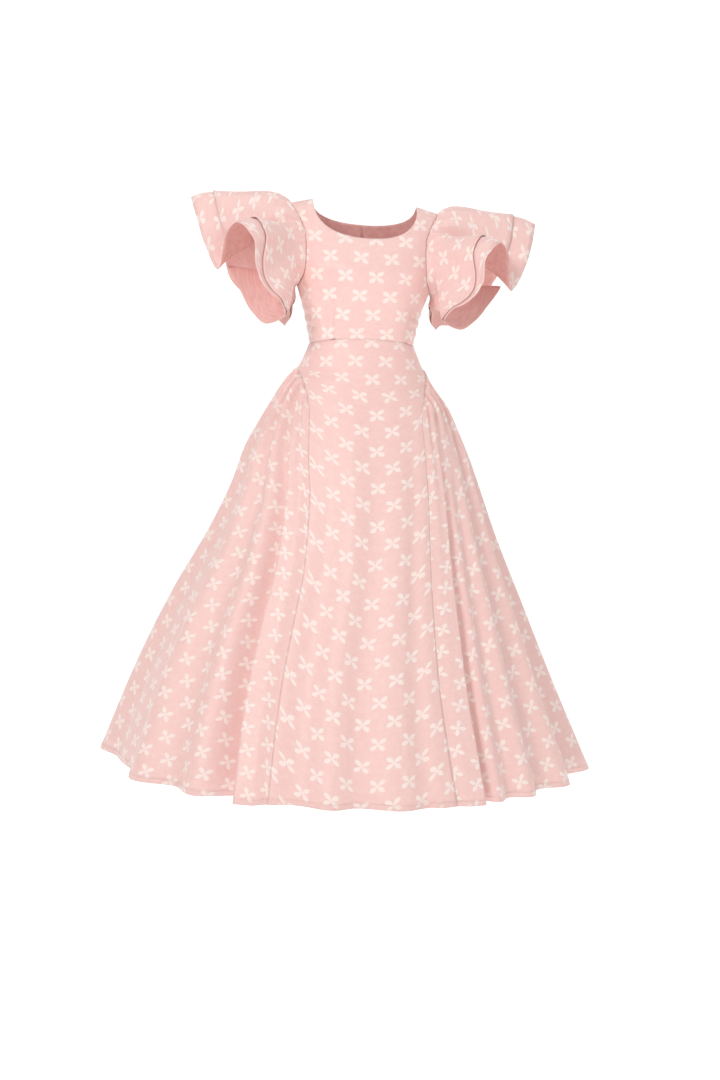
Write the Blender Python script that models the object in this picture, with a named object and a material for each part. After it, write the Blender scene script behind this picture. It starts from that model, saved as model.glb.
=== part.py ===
"""A midi dress in pale pink jacquard, worn: fitted bodice, full skirt gathered on curved hip seams, and
sleeves of two gathered flounces each.

Metres, +Z up, the front towards -Y. The origin is midway between the shoulder seams, where the wearer
carries the dress. Right and left are the wearer's, so right is at -X. Every piece of cloth is one wall: a
grid of points on its outer face, thickened inwards. Angles run round the body in degrees, from 0 at the
centre front to 90 at the left side and 180 at the centre back, and to -90 at the right side.
"""

import math
from bisect import bisect_right
from collections import namedtuple

import bmesh
import bpy
from mathutils import Matrix, Vector

# Cloth
WALL = 0.0018
FLOUNCE_WALL = 0.0010
SEAM_GAP = 0.0004

# Levels, down from the shoulders
UNDERARM = -0.170
WAIST = -0.274
WAIST_RISE = 0.010
HIP_SEAM_TOP = -0.317
GATHER_END = -0.388
HEM = -1.083

# Where the bodice's grids turn their corners: shares up the armhole, and degrees round the neckline
CHEST_SHARE = 0.36
STRAP_SHARE = 0.70
CHEST_LEVEL = -0.130
FRONT_NECK_SPLIT = 52.0
BACK_NECK_SPLIT = 50.0

# Neckline: half of a squared oval, front and back
NECK_HALF_WIDTH = 0.0996
NECK_CORNER = -0.004
FRONT_NECK_DROP = 0.0700
BACK_NECK_DROP = 0.0400
NECK_ROUND = 2 / 2.4
SHOULDER_TIP_X = 0.142
SHOULDER_TIP = -0.014

# Plan shape of the body: a squared oval at the bodice, an oval from the hips down
BODICE_ROUND = 0.87
OVAL_FROM = -0.400

# Grids, in cells
SIDE_COLUMNS = 4
STRAP_COLUMNS = 3
FRONT_NECK_COLUMNS = 5
BACK_NECK_COLUMNS = 5
BODY_ROWS = 7
CHEST_ROWS = 3
STRAP_ROWS = 4
HIP_ROWS = 3
HIP_SEAM_ROWS = 6
SKIRT_ROWS = 9
SKIRT_ROW_SPREAD = 1.4
FLOUNCE_ROWS = (0.0, 0.1, 0.26, 0.48, 0.74, 1.0)

# Gathers
GATHER_HEIGHT = 0.0035
GATHER_GAP = 0.0010
GATHER_CREST = 0.020
GATHER_LENGTH = 0.055
SLEEVE_GATHER_HEIGHT = 0.0024
COLUMNS_A_GATHER = 4

# Flounces
FLOUNCE_START = 0.30
FLOUNCE_TURN = 0.62
FLOUNCE_CLEAR = 0.0015
FLOUNCE_LIFT = 0.8
LAYER_STEP = 0.0026
LAYER_SPREAD = 0.0010
OVERHANG_DROP = 0.9

AXIS_X = Vector((1.0, 0.0, 0.0))
AXIS_Y = Vector((0.0, 1.0, 0.0))
AXIS_Z = Vector((0.0, 0.0, 1.0))

PINK = (0.93, 0.66, 0.62)
METAL_PINK = (0.80, 0.62, 0.58)

Pose = namedtuple("Pose", "z turn tilt")
POSE = (
    Pose(0.050, 4.0, 0.075),
    Pose(-0.130, 4.0, 0.075),
    Pose(-0.274, 1.5, 0.025),
    Pose(-0.400, 0.0, 0.028),
    Pose(-1.100, 0.0, 0.030),
)

Girth = namedtuple("Girth", "z half centre")
BODICE = (
    Girth(0.020, 0.165, 0.000),
    Girth(-0.050, 0.160, 0.000),
    Girth(-0.100, 0.149, -0.001),
    Girth(-0.140, 0.138, -0.002),
    Girth(-0.170, 0.127, -0.003),
    Girth(-0.210, 0.1140, -0.005),
    Girth(-0.274, 0.1005, -0.006),
)

Depth = namedtuple("Depth", "under front back")
CHEST = (
    Depth(-0.010, 0.000, 0.000),
    Depth(0.000, 0.000, 0.000),
    Depth(0.010, 0.028, 0.026),
    Depth(0.030, 0.047, 0.045),
    Depth(0.066, 0.070, 0.066),
    Depth(0.100, 0.096, 0.080),
    Depth(0.135, 0.114, 0.087),
    Depth(0.170, 0.110, 0.087),
    Depth(0.210, 0.099, 0.083),
    Depth(0.274, 0.087, 0.079),
)

Armhole = namedtuple("Armhole", "share z front back")
ARMHOLE = (
    Armhole(0.00, -0.170, 0.1270, 0.1270),
    Armhole(0.12, -0.164, 0.1235, 0.1250),
    Armhole(0.30, -0.143, 0.1155, 0.1220),
    Armhole(0.50, -0.108, 0.1135, 0.1210),
    Armhole(0.68, -0.074, 0.1150, 0.1240),
    Armhole(0.84, -0.044, 0.1255, 0.1320),
    Armhole(1.00, -0.014, 0.1420, 0.1420),
)

Section = namedtuple("Section", "z right left front back")
SKIRT = (
    Section(-0.274, 0.1065, 0.0945, 0.087, 0.079),
    Section(-0.317, 0.126, 0.1115, 0.101, 0.094),
    Section(-0.349, 0.152, 0.126, 0.115, 0.110),
    Section(-0.394, 0.182, 0.158, 0.138, 0.134),
    Section(-0.475, 0.227, 0.193, 0.182, 0.176),
    Section(-0.546, 0.251, 0.216, 0.219, 0.212),
    Section(-0.635, 0.292, 0.244, 0.260, 0.250),
    Section(-0.763, 0.364, 0.293, 0.317, 0.303),
    Section(-0.909, 0.434, 0.350, 0.378, 0.358),
    Section(-1.083, 0.505, 0.424, 0.445, 0.420),
)

# The seams between the skirt's front and side panels, as angles from the centre front. The first rows, down
# to GATHER_END, are the curved hip seam that the side panel is gathered onto.
Seam = namedtuple("Seam", "z right left back")
SEAMS = (
    Seam(-0.317, 90.0, 90.0, 90.0),
    Seam(-0.335, 58.0, 76.0, 118.0),
    Seam(-0.362, 41.0, 60.0, 136.0),
    Seam(-0.388, 34.0, 46.5, 145.0),
    Seam(-0.450, 26.5, 40.0, 149.0),
    Seam(-0.600, 19.0, 34.0, 153.0),
    Seam(-0.720, 16.0, 30.5, 156.0),
    Seam(-0.900, 16.4, 27.6, 159.0),
    Seam(-1.083, 16.5, 26.4, 160.0),
)

# Folds along the hem of each skirt panel. Share runs across the panel, out is the hem's distance from the
# plain oval, and columns are the grid's cells up to the next row, which set where the fold starts above.
Fold = namedtuple("Fold", "name share out columns")
FRONT_FOLDS = (
    Fold("right seam", 0.000, 0.000, 4),
    Fold("right trough", 0.140, -0.011, 5),
    Fold("middle ridge", 0.338, 0.011, 4),
    Fold("middle trough", 0.466, -0.009, 5),
    Fold("left ridge", 0.700, 0.013, 3),
    Fold("left trough", 0.840, -0.003, 2),
    Fold("left edge ridge", 0.910, 0.004, 1),
    Fold("left seam", 1.000, 0.000, 0),
)
BACK_FOLDS = (
    Fold("hip seam", 0.000, 0.000, 3),
    Fold("trough", 0.330, -0.011, 4),
    Fold("ridge", 0.700, 0.011, 3),
    Fold("centre back seam", 1.000, 0.000, 0),
)
RIGHT_FOLDS = (
    Fold("front seam", 0.000, 0.000, 2),
    Fold("front strip", 0.022, 0.018, 2),
    Fold("front fold edge", 0.049, 0.022, 1),
    Fold("front deep trough", 0.055, -0.038, 3),
    Fold("ridge 1", 0.129, 0.012, 3),
    Fold("trough 1", 0.185, -0.016, 3),
    Fold("ridge 2", 0.261, 0.018, 3),
    Fold("trough 2", 0.338, -0.018, 3),
    Fold("side trough", 0.425, -0.016, 3),
    Fold("side ridge", 0.505, 0.018, 3),
    Fold("trough 3", 0.585, -0.018, 3),
    Fold("ridge 3", 0.668, 0.020, 3),
    Fold("ridge 4", 0.749, 0.018, 3),
    Fold("trough 4", 0.819, -0.018, 3),
    Fold("ridge 5", 0.885, 0.012, 3),
    Fold("back deep trough", 0.945, -0.034, 1),
    Fold("back fold edge", 0.951, 0.020, 2),
    Fold("back strip", 0.977, 0.016, 2),
    Fold("back seam", 1.000, 0.000, 0),
)
LEFT_FOLDS = (
    Fold("front seam", 0.000, 0.000, 2),
    Fold("front strip", 0.023, 0.010, 2),
    Fold("front fold edge", 0.049, 0.012, 1),
    Fold("front deep trough", 0.055, -0.020, 2),
    Fold("ridge 1", 0.083, 0.006, 2),
    Fold("trough 1", 0.115, -0.010, 2),
    Fold("ridge 2", 0.154, 0.012, 3),
    Fold("trough 2", 0.203, -0.014, 3),
    Fold("ridge 3", 0.266, 0.016, 3),
    Fold("trough 3", 0.334, -0.018, 3),
    Fold("side ridge", 0.409, 0.020, 3),
    Fold("side trough", 0.491, -0.020, 3),
    Fold("ridge 4", 0.573, 0.018, 3),
    Fold("trough 4", 0.656, -0.020, 3),
    Fold("ridge 5", 0.738, 0.018, 3),
    Fold("trough 5", 0.810, -0.018, 3),
    Fold("ridge 6", 0.880, 0.012, 3),
    Fold("back deep trough", 0.943, -0.034, 1),
    Fold("back fold edge", 0.949, 0.020, 2),
    Fold("back strip", 0.976, 0.016, 2),
    Fold("back seam", 1.000, 0.000, 0),
)
FOLD_GROWTH = 0.8

# The flounces' outer edge, from the underarm forwards and round the arm. Seam is the place round the armhole,
# x, y and z the upper layer's edge on a left sleeve, lift and push the middle's stand above and behind the
# straight line from seam to edge, and reach the under layer's length over the upper one's.
Rim = namedtuple("Rim", "name seam x y z lift push reach columns")
FLOUNCE = (
    Rim("underarm", 0.000, 0.130, 0.000, -0.195, 0.000, 0.000, 1.08, 2),
    Rim("third wall, inner", 0.030, 0.144, -0.032, -0.205, 0.000, 0.000, 1.06, 1),
    Rim("third wall, middle", 0.055, 0.186, -0.028, -0.200, 0.000, 0.000, 1.06, 1),
    Rim("third wall, outer", 0.080, 0.234, -0.012, -0.166, 0.004, 0.004, 1.05, 1),
    Rim("outer turn", 0.098, 0.254, -0.042, -0.148, 0.006, 0.000, 1.05, 2),
    Rim("second wall, outer", 0.122, 0.230, -0.072, -0.184, 0.004, -0.010, 1.05, 1),
    Rim("second wall, middle", 0.142, 0.208, -0.084, -0.214, 0.002, -0.014, 1.06, 1),
    Rim("lower tip", 0.162, 0.178, -0.100, -0.234, 0.000, -0.016, 1.07, 2),
    Rim("inner turn", 0.188, 0.143, -0.130, -0.220, 0.004, -0.014, 1.03, 1),
    Rim("first wall, inner", 0.212, 0.155, -0.150, -0.199, 0.008, -0.016, 1.02, 1),
    Rim("first wall, lower", 0.236, 0.173, -0.160, -0.185, 0.010, -0.018, 1.04, 2),
    Rim("first wall, middle", 0.262, 0.193, -0.164, -0.154, 0.012, -0.016, 1.08, 1),
    Rim("first wall, upper", 0.283, 0.197, -0.162, -0.130, 0.014, -0.014, 1.14, 2),
    Rim("first wall, outer", 0.307, 0.190, -0.156, -0.090, 0.016, -0.010, 1.24, 1),
    Rim("arch, inner", 0.327, 0.198, -0.148, -0.068, 0.018, -0.006, 1.30, 1),
    Rim("arch, crown", 0.347, 0.215, -0.124, -0.054, 0.020, -0.004, 1.32, 1),
    Rim("arch, outer", 0.367, 0.232, -0.094, -0.066, 0.020, -0.002, 1.32, 2),
    Rim("front trough", 0.397, 0.246, -0.052, -0.118, 0.018, 0.000, 1.30, 2),
    Rim("front lobe, lower", 0.427, 0.274, -0.044, -0.067, 0.018, 0.000, 1.27, 2),
    Rim("front lobe, upper", 0.457, 0.283, -0.022, -0.033, 0.020, 0.000, 1.28, 2),
    Rim("crown corner", 0.500, 0.290, 0.010, -0.002, 0.022, 0.000, 1.30, 2),
    Rim("back lobe, upper", 0.530, 0.284, 0.048, -0.018, 0.020, 0.004, 1.28, 2),
    Rim("back lobe, lower", 0.570, 0.270, 0.086, -0.054, 0.018, 0.008, 1.26, 2),
    Rim("back trough 1", 0.610, 0.243, 0.084, -0.102, 0.014, 0.012, 1.24, 2),
    Rim("back ridge 2", 0.650, 0.238, 0.116, -0.132, 0.012, 0.014, 1.20, 2),
    Rim("back ridge 2, lower", 0.695, 0.214, 0.128, -0.166, 0.010, 0.014, 1.18, 2),
    Rim("back trough 2", 0.740, 0.184, 0.108, -0.184, 0.006, 0.012, 1.16, 2),
    Rim("back ridge 3", 0.785, 0.170, 0.128, -0.218, 0.004, 0.010, 1.12, 2),
    Rim("back trough 3", 0.840, 0.152, 0.098, -0.226, 0.002, 0.006, 1.10, 2),
    Rim("back tip", 0.895, 0.143, 0.068, -0.238, 0.000, 0.004, 1.08, 2),
    Rim("back of the underarm", 0.950, 0.134, 0.034, -0.214, 0.000, 0.000, 1.08, 2),
    Rim("underarm again", 1.000, 0.130, 0.000, -0.195, 0.000, 0.000, 1.08, 0),
)
GATHERED_HEAD = (0.26, 0.74)

# Zip slider and pull at the top of the centre back
SLIDER_BELOW_NECK = 0.010
SLIDER_SIZE = (0.0056, 0.0090, 0.0014)
SLIDER_LIFT = 0.0004
BRIDGE_WIDTH = 0.0014
BRIDGE_LENGTH = 0.0062
BRIDGE_BAR = 0.0008
BRIDGE_INNER = 0.0017
PULL_WIDTH = 0.0052
PULL_LENGTH = 0.0240
PULL_THICKNESS = 0.0009
PULL_EYE_WIDTH = 0.0026
PULL_EYE_LENGTH = 0.0062
PULL_BAR = 0.0009


def curve(rows, key, field):
    """A smooth function from one column of a table to another, which never overshoots the rows."""
    pairs = sorted((getattr(row, key), getattr(row, field)) for row in rows)
    keys = [pair[0] for pair in pairs]
    values = [pair[1] for pair in pairs]
    steps = [(values[i + 1] - values[i]) / (keys[i + 1] - keys[i]) for i in range(len(keys) - 1)]
    inner = [2 * a * b / (a + b) if a * b > 0 else 0.0 for a, b in zip(steps, steps[1:])]
    slopes = [steps[0], *inner, steps[-1]]

    def value(x):
        x = min(max(x, keys[0]), keys[-1])
        i = min(max(bisect_right(keys, x) - 1, 0), len(keys) - 2)
        run = keys[i + 1] - keys[i]
        t = (x - keys[i]) / run
        ease = t * t * (3 - 2 * t)
        start = slopes[i] * run * t * (1 - t) ** 2
        end = slopes[i + 1] * run * t * t * (1 - t)
        return values[i] * (1 - ease) + values[i + 1] * ease + start - end

    return value


def between(a, b, t):
    return a + (b - a) * t


def eased(t):
    t = min(max(t, 0.0), 1.0)
    return t * t * (3 - 2 * t)


def power(value, exponent):
    """A power that keeps its sign."""
    return math.copysign(abs(value) ** exponent, value)


# Pose: the shoulders turned a little to the left and tipped down on that side

turn_at = curve(POSE, "z", "turn")
tilt_at = curve(POSE, "z", "tilt")


def posed(point):
    turned = Matrix.Rotation(math.radians(turn_at(point.z)), 3, "Z") @ point
    return Vector((turned.x, turned.y, point.z - tilt_at(point.z) * point.x))


# Cloth walls


def inward_of(surface, angle, z):
    """The direction through a wall on this surface, which runs by angle and level, at one place."""
    along = posed(surface(angle + 0.5, z)) - posed(surface(angle - 0.5, z))
    down = posed(surface(angle, z - 0.002)) - posed(surface(angle, z + 0.002))
    return along.cross(down).normalized()


def neighbours(spot, wrap):
    """The four grid places next to one; wrap is the number of columns of a closed ring."""
    r, c = spot
    left = (c - 1) % wrap if wrap else c - 1
    right = (c + 1) % wrap if wrap else c + 1
    return (r - 1, c), (r + 1, c), (r, left), (r, right)


def cloth(name, points, seams=(), wrap=0, backs=None):
    """A wall from its outer points, a dict by row from the top and column by growing angle.

    A cell is closed wherever its four corners exist, with the same diagonal on both faces, so that they keep
    apart where the cloth twists. Each seam entry is a grid place, the direction across the
    seam, the gap there and the wall's direction inwards, the same for both pieces of a seam. The point is
    drawn back by half the gap.
    """
    outer = dict(points)
    depths = {}
    for spot, direction, gap, depth in seams:
        above, below, left, right = neighbours(spot, wrap)
        pairs = ((above, below), (below, above), (left, right), (right, left))
        open_sides = [near for missing, near in pairs if missing not in points and near in points]
        inwards = [points[near] - points[spot] for near in open_sides]
        inward = max((step.normalized().dot(direction) for step in inwards), key=abs)
        outer[spot] = outer[spot] + direction * math.copysign(gap / 2, inward)
        depths[spot] = depth
    inner = dict(backs or {})
    for spot in outer if not backs else ():
        above, below, left, right = (outer.get(near, outer[spot]) for near in neighbours(spot, wrap))
        depth = depths.get(spot) or (right - left).cross(below - above).normalized()
        inner[spot] = outer[spot] + depth * WALL
    shape = bmesh.new()
    out = {spot: shape.verts.new(point) for spot, point in outer.items()}
    back = {spot: shape.verts.new(point) for spot, point in inner.items()}
    rims = set()
    for r, c in outer:
        following = (c + 1) % wrap if wrap else c + 1
        ring = [(r, c), (r + 1, c), (r + 1, following), (r, following)]
        if all(spot in outer for spot in ring):
            for half in (ring[:3], [ring[0], *ring[2:]]):
                shape.faces.new([out[spot] for spot in half])
                shape.faces.new([back[spot] for spot in reversed(half)])
            rims ^= {frozenset(edge) for edge in zip(ring, ring[1:] + ring[:1])}
    shape.edges.ensure_lookup_table()
    for a, b in (tuple(edge) for edge in rims):
        shape.faces.new((out[a], out[b], back[b], back[a]))
    bmesh.ops.recalc_face_normals(shape, faces=shape.faces)
    mesh = bpy.data.meshes.new(name)
    shape.to_mesh(mesh)
    shape.free()
    mesh.shade_smooth()
    piece = bpy.data.objects.new(name, mesh)
    bpy.context.collection.objects.link(piece)
    mesh.materials.append(finish(name, PINK, 0.55, 0.0))
    return piece


def finish(name, colour, roughness, metallic):
    material = bpy.data.materials.new(name)
    material.use_nodes = True
    shader = material.node_tree.nodes["Principled BSDF"]
    shader.inputs["Base Color"].default_value = (*colour, 1.0)
    shader.inputs["Roughness"].default_value = roughness
    shader.inputs["Metallic"].default_value = metallic
    return material


# Bodice: points on the body's form by angle and level

half_width = curve(BODICE, "z", "half")
body_centre = curve(BODICE, "z", "centre")
front_depth = curve(CHEST, "under", "front")
back_depth = curve(CHEST, "under", "back")
armhole_level = curve(ARMHOLE, "share", "z")
armhole_front = curve(ARMHOLE, "share", "front")
armhole_back = curve(ARMHOLE, "share", "back")


def shoulder_ridge(x):
    """The level of the shoulder seam at this distance from the centre."""
    along = (abs(x) - NECK_HALF_WIDTH) / (SHOULDER_TIP_X - NECK_HALF_WIDTH)
    return between(NECK_CORNER, SHOULDER_TIP, max(along, 0.0))


def torso(angle, z):
    sine = math.sin(math.radians(angle))
    cosine = math.cos(math.radians(angle))
    x = half_width(z) * power(sine, BODICE_ROUND)
    under = shoulder_ridge(x) - z
    depth = front_depth(under) if cosine >= 0 else back_depth(under)
    return Vector((x + body_centre(z), -depth * power(cosine, BODICE_ROUND), z))


def angle_of(x, z):
    """The angle of the point of the front that lies at this x, up to 90 degrees."""
    return math.degrees(math.asin(power(min(max(x / half_width(z), -1.0), 1.0), 1 / BODICE_ROUND)))


def waist_level(angle):
    return WAIST + WAIST_RISE * max(math.cos(math.radians(angle)), 0.0) ** 2


def armhole_edge(share, back):
    """A point of a left armhole, as angle and level: 0 at the underarm, 1 at the shoulder tip."""
    z = armhole_level(share)
    angle = angle_of(armhole_back(share) if back else armhole_front(share), z)
    return (180.0 - angle if back else angle), z


def neckline(theta, back):
    """A point of the neckline, as angle and level: 0 at the centre, 90 degrees at the shoulder."""
    drop = BACK_NECK_DROP if back else FRONT_NECK_DROP
    x = NECK_HALF_WIDTH * power(math.sin(math.radians(theta)), NECK_ROUND)
    z = NECK_CORNER - drop * power(math.cos(math.radians(theta)), NECK_ROUND)
    angle = angle_of(x, z)
    return (180.0 - angle if back else angle), z


def line(start, end):
    """A straight run between two places, each an angle and a level."""
    return lambda t: (between(start[0], end[0], t), between(start[1], end[1], t))


def patch(bottom, top, first, last, columns, rows):
    """Angles and levels by row from the top and column, between four edges that run from 0 to 1."""
    found = {}
    for r in range(rows + 1):
        for c in range(columns + 1):
            u, v = c / columns, 1 - r / rows
            place = []
            for i in range(2):
                edges = between(bottom(u)[i], top(u)[i], v) + between(first(v)[i], last(v)[i], u)
                corners = between(between(bottom(0)[i], bottom(1)[i], u), between(top(0)[i], top(1)[i], u), v)
                place.append(edges - corners)
            found[r, c] = tuple(place)
    return found


def placed(found, patch_found, row, column):
    """The patch's places added to found, from this row and column on."""
    for (r, c), place in patch_found.items():
        found[r + row, c + column] = place


def half_bodice(back):
    """Angles and levels of a left half panel, columns from the centre out, for its chest, side and strap.

    The strap's columns stand between the neckline's side and the armhole, and the rest end at the neckline.
    """
    centre = 180.0 if back else 0.0
    split = BACK_NECK_SPLIT if back else FRONT_NECK_SPLIT
    neck = BACK_NECK_COLUMNS if back else FRONT_NECK_COLUMNS
    chest = neck + STRAP_COLUMNS
    corner = armhole_edge(CHEST_SHARE, back)
    strap_corner = armhole_edge(STRAP_SHARE, back)
    neck_corner = neckline(split, back)
    middle = (centre, CHEST_LEVEL)

    def waist(angle):
        return lambda t: (between(centre, angle, t), waist_level(between(centre, angle, t)))

    def neck_bottom(t):
        return neckline(split * t, back)

    chest_angle = between(centre, 90.0, chest / (chest + SIDE_COLUMNS))
    chest_line = line(middle, corner)
    neck_line = line(chest_line(neck / chest), neck_corner)
    below = line((chest_angle, waist_level(chest_angle)), corner)
    strap_base = line(neck_corner, strap_corner)
    strap_foot = line(chest_line(neck / chest), corner)
    found = {}
    placed(found, patch(
        waist(chest_angle), chest_line, line((centre, waist_level(centre)), middle), below, chest, BODY_ROWS,
    ), STRAP_ROWS + CHEST_ROWS, 0)
    placed(found, patch(
        lambda t: (between(chest_angle, 90.0, t), waist_level(between(chest_angle, 90.0, t))),
        lambda t: armhole_edge(CHEST_SHARE * (1 - t), back),
        below, line((90.0, WAIST), (90.0, UNDERARM)), SIDE_COLUMNS, BODY_ROWS,
    ), STRAP_ROWS + CHEST_ROWS, chest)
    placed(found, patch(
        line(middle, chest_line(neck / chest)), neck_bottom, line(middle, neckline(0.0, back)), neck_line,
        neck, CHEST_ROWS,
    ), STRAP_ROWS, 0)
    placed(found, patch(
        strap_foot, strap_base, neck_line,
        lambda t: armhole_edge(between(CHEST_SHARE, STRAP_SHARE, t), back), STRAP_COLUMNS, CHEST_ROWS,
    ), STRAP_ROWS, neck)
    placed(found, patch(
        strap_base, shoulder(back), lambda t: neckline(between(split, 90.0, t), back),
        lambda t: armhole_edge(between(STRAP_SHARE, 1.0, t), back), STRAP_COLUMNS, STRAP_ROWS,
    ), 0, neck)
    return found


def shoulder(back):
    """The shoulder seam from the neck to its tip, as angle and level."""
    def edge(t):
        x = between(NECK_HALF_WIDTH, SHOULDER_TIP_X, t)
        z = between(NECK_CORNER, SHOULDER_TIP, t)
        return (180.0 - angle_of(x, z) if back else angle_of(x, z)), z

    return edge


def bodice_panel(name, places, back):
    """A wall between the places of its grid, with seams at the waist, sides, shoulders and back."""
    side_column = max(abs(c) for r, c in places)
    last = BODY_ROWS + CHEST_ROWS + STRAP_ROWS
    seams = []
    for (r, c), (angle, z) in places.items():
        depth = inward_of(torso, angle, z) if r else -AXIS_Z
        if r == last:
            seams.append(((r, c), AXIS_Z, SEAM_GAP, depth))
        if abs(c) == side_column or r == 0:
            seams.append(((r, c), AXIS_Y, SEAM_GAP, depth))
        if back and c == 0:
            seams.append(((r, c), AXIS_X, SEAM_GAP, depth))
    cloth(name, {spot: posed(torso(*place)) for spot, place in places.items()}, seams)


def bodice_front():
    places = {}
    for (r, c), (angle, z) in half_bodice(back=False).items():
        places[r, c] = (angle, z)
        places[r, -c] = (-angle, z)
    bodice_panel("bodice_front", places, back=False)


def bodice_back(name, side):
    """A back panel. Its columns count from the centre back, so they run backwards on the left."""
    places = {(r, -side * c): (side * angle, z) for (r, c), (angle, z) in half_bodice(back=True).items()}
    bodice_panel(name, places, back=True)


# Skirt: points on its oval by angle and level, and the folds across each panel

right_width = curve(SKIRT, "z", "right")
left_width = curve(SKIRT, "z", "left")
skirt_front_depth = curve(SKIRT, "z", "front")
skirt_back_depth = curve(SKIRT, "z", "back")
HIP = [row for row in SEAMS if row.z >= GATHER_END]
seam_angle = {side: curve(SEAMS, "z", side) for side in ("right", "left", "back")}
hip_curve = {side: curve(HIP, side, "z") for side in ("right", "left", "back")}


def hip_corners(side, angle):
    """A curved hip seam's corners on both sides of an angle, as angles and levels, and the way between."""
    end = seam_angle[side](GATHER_END)
    along = min(max((angle - 90.0) / (end - 90.0), 0.0), 1.0) * HIP_SEAM_ROWS
    number = min(int(along), HIP_SEAM_ROWS - 1)
    angles = [between(90.0, end, k / HIP_SEAM_ROWS) for k in (number, number + 1)]
    return [(corner, hip_curve[side](corner)) for corner in angles], along - number


def hip_level(side, angle):
    """The level of a curved hip seam at an angle: straight between the rows of the panel above it."""
    (first, second), way = hip_corners(side, angle)
    return between(first[1], second[1], way)


def skirt_point(angle, z, out=0.0):
    half = (right_width(z) + left_width(z)) / 2
    centre = (left_width(z) - right_width(z)) / 2
    sine = math.sin(math.radians(angle))
    cosine = math.cos(math.radians(angle))
    depth = skirt_front_depth(z) if cosine >= 0 else skirt_back_depth(z)
    roundness = between(BODICE_ROUND, 1.0, eased((WAIST - z) / (WAIST - OVAL_FROM)))
    on_oval = Vector((half * power(sine, roundness) + centre, -depth * power(cosine, roundness), z))
    return on_oval + Vector((depth * sine, -half * cosine, 0.0)).normalized() * out


def hip_point(side, sign, angle):
    """A point of the curved hip seam, on the straight edge between two corners of the panel above it."""
    corners, way = hip_corners(side, angle)
    first, second = (skirt_point(sign * corner, z) for corner, z in corners)
    return first.lerp(second, way)


def round_the_body(angle, z):
    """The direction round the skirt's oval at this angle and level."""
    here = skirt_point(angle + 0.5, z) - skirt_point(angle - 0.5, z)
    return here.normalized()


def waist_point(angle):
    return torso(angle, waist_level(angle))


def columns_of(folds):
    """Each grid column's share along the panel's top, its share along the hem and its distance out there."""
    count = sum(fold.columns for fold in folds)
    found = []
    for fold, following in zip(folds, folds[1:]):
        for step in range(fold.columns):
            t = step / fold.columns
            out = between(fold.out, following.out, (1 - math.cos(math.pi * t)) / 2)
            found.append((len(found) / count, between(fold.share, following.share, t), out))
    found.append((1.0, 1.0, folds[-1].out))
    return found


def row_shares():
    return [(row / SKIRT_ROWS) ** SKIRT_ROW_SPREAD for row in range(SKIRT_ROWS + 1)]


def hip_rows(first, last):
    """Both ends of each row of a panel that starts at the waist, each end as an angle and a level.

    first and last name the seams that bound the panel, as (side, sign), or (None, angle) for a straight one.
    """
    rows = []
    for step in range(HIP_ROWS):
        share = step / HIP_ROWS
        rows.append([(end_angle(edge, 90.0), between(WAIST, HIP_SEAM_TOP, share)) for edge in (first, last)])
    for step in range(HIP_SEAM_ROWS):
        row = []
        for edge in (first, last):
            side = edge[0] or (last[0] if edge is first else first[0])
            angle = between(90.0, seam_angle[side](GATHER_END), step / HIP_SEAM_ROWS)
            row.append((end_angle(edge, angle), hip_level(side, angle)))
        rows.append(row)
    for share in row_shares():
        z = between(GATHER_END, HEM, share)
        ends = [seam_angle[side](z) if side else 0.0 for side, sign in (first, last)]
        rows.append([(end_angle(edge, angle), z) for edge, angle in zip((first, last), ends)])
    return rows


def end_angle(edge, angle):
    side, sign = edge
    return sign * angle if side else sign


def hung_panel(name, folds, first, last):
    """A skirt panel that hangs from the waist seam, between two seams."""
    points = {}
    seams = []
    columns = columns_of(folds)
    way = 1 if last[1] > 0 else -1
    for r, ((angle_a, z_a), (angle_b, z_b)) in enumerate(hip_rows(first, last)):
        fall = min(max((GATHER_END - (z_a + z_b) / 2) / (GATHER_END - HEM), 0.0), 1.0)
        for c, (top, hem, out) in enumerate(columns):
            share = between(top, hem, fall)
            angle = between(angle_a, angle_b, share)
            z = between(z_a, z_b, share)
            rise = (waist_level(angle) - WAIST) * max(1 - r / HIP_ROWS, 0.0)
            point = skirt_point(angle, z + rise, out * fall**FOLD_GROWTH) if r else waist_point(angle)
            points[r, way * c] = posed(point)
            depth = inward_of(skirt_point, angle, z) if r else inward_of(torso, angle, waist_level(angle))
            if r == 0:
                seams.append(((r, way * c), AXIS_Z, SEAM_GAP, depth))
            if c in (0, len(columns) - 1):
                seams.append(((r, way * c), round_the_body(angle, z), SEAM_GAP, depth))
    cloth(name, points, seams)


def gathered_panel(name, folds, side, sign):
    """A side panel of the skirt, gathered onto the front's and the back's curved hip seams."""
    front_end = seam_angle[side](GATHER_END)
    back_end = seam_angle["back"](GATHER_END)
    columns = columns_of(folds)
    points = {}
    seams = []
    for r, share in enumerate(row_shares()):
        for c, (top, hem, out) in enumerate(columns):
            top_angle = between(front_end, back_end, top)
            level = hip_level(side if top_angle < 90 else "back", top_angle)
            z = between(level, HEM, share)
            fall = min(max((GATHER_END - z) / (GATHER_END - HEM), 0.0), 1.0)
            angle = between(seam_angle[side](z), seam_angle["back"](z), between(top, hem, fall))
            if z > GATHER_END:
                angle = top_angle
            ripple = gather_wave(c, len(columns) - 1) * gather_shape(level - z) * GATHER_HEIGHT
            point = skirt_point(sign * angle, z, out * share**FOLD_GROWTH + ripple)
            if r == 0:
                point = hip_point(side if top_angle < 90 else "back", sign, top_angle)
            points[r, sign * c] = posed(point)
            depth = inward_of(skirt_point, sign * angle, z)
            if c in (0, len(columns) - 1):
                seams.append(((r, sign * c), round_the_body(sign * angle, z), SEAM_GAP, depth))
            elif r == 0:
                seams.append(((r, sign * c), AXIS_Z, GATHER_GAP, depth))
    cloth(name, points, seams)


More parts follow.
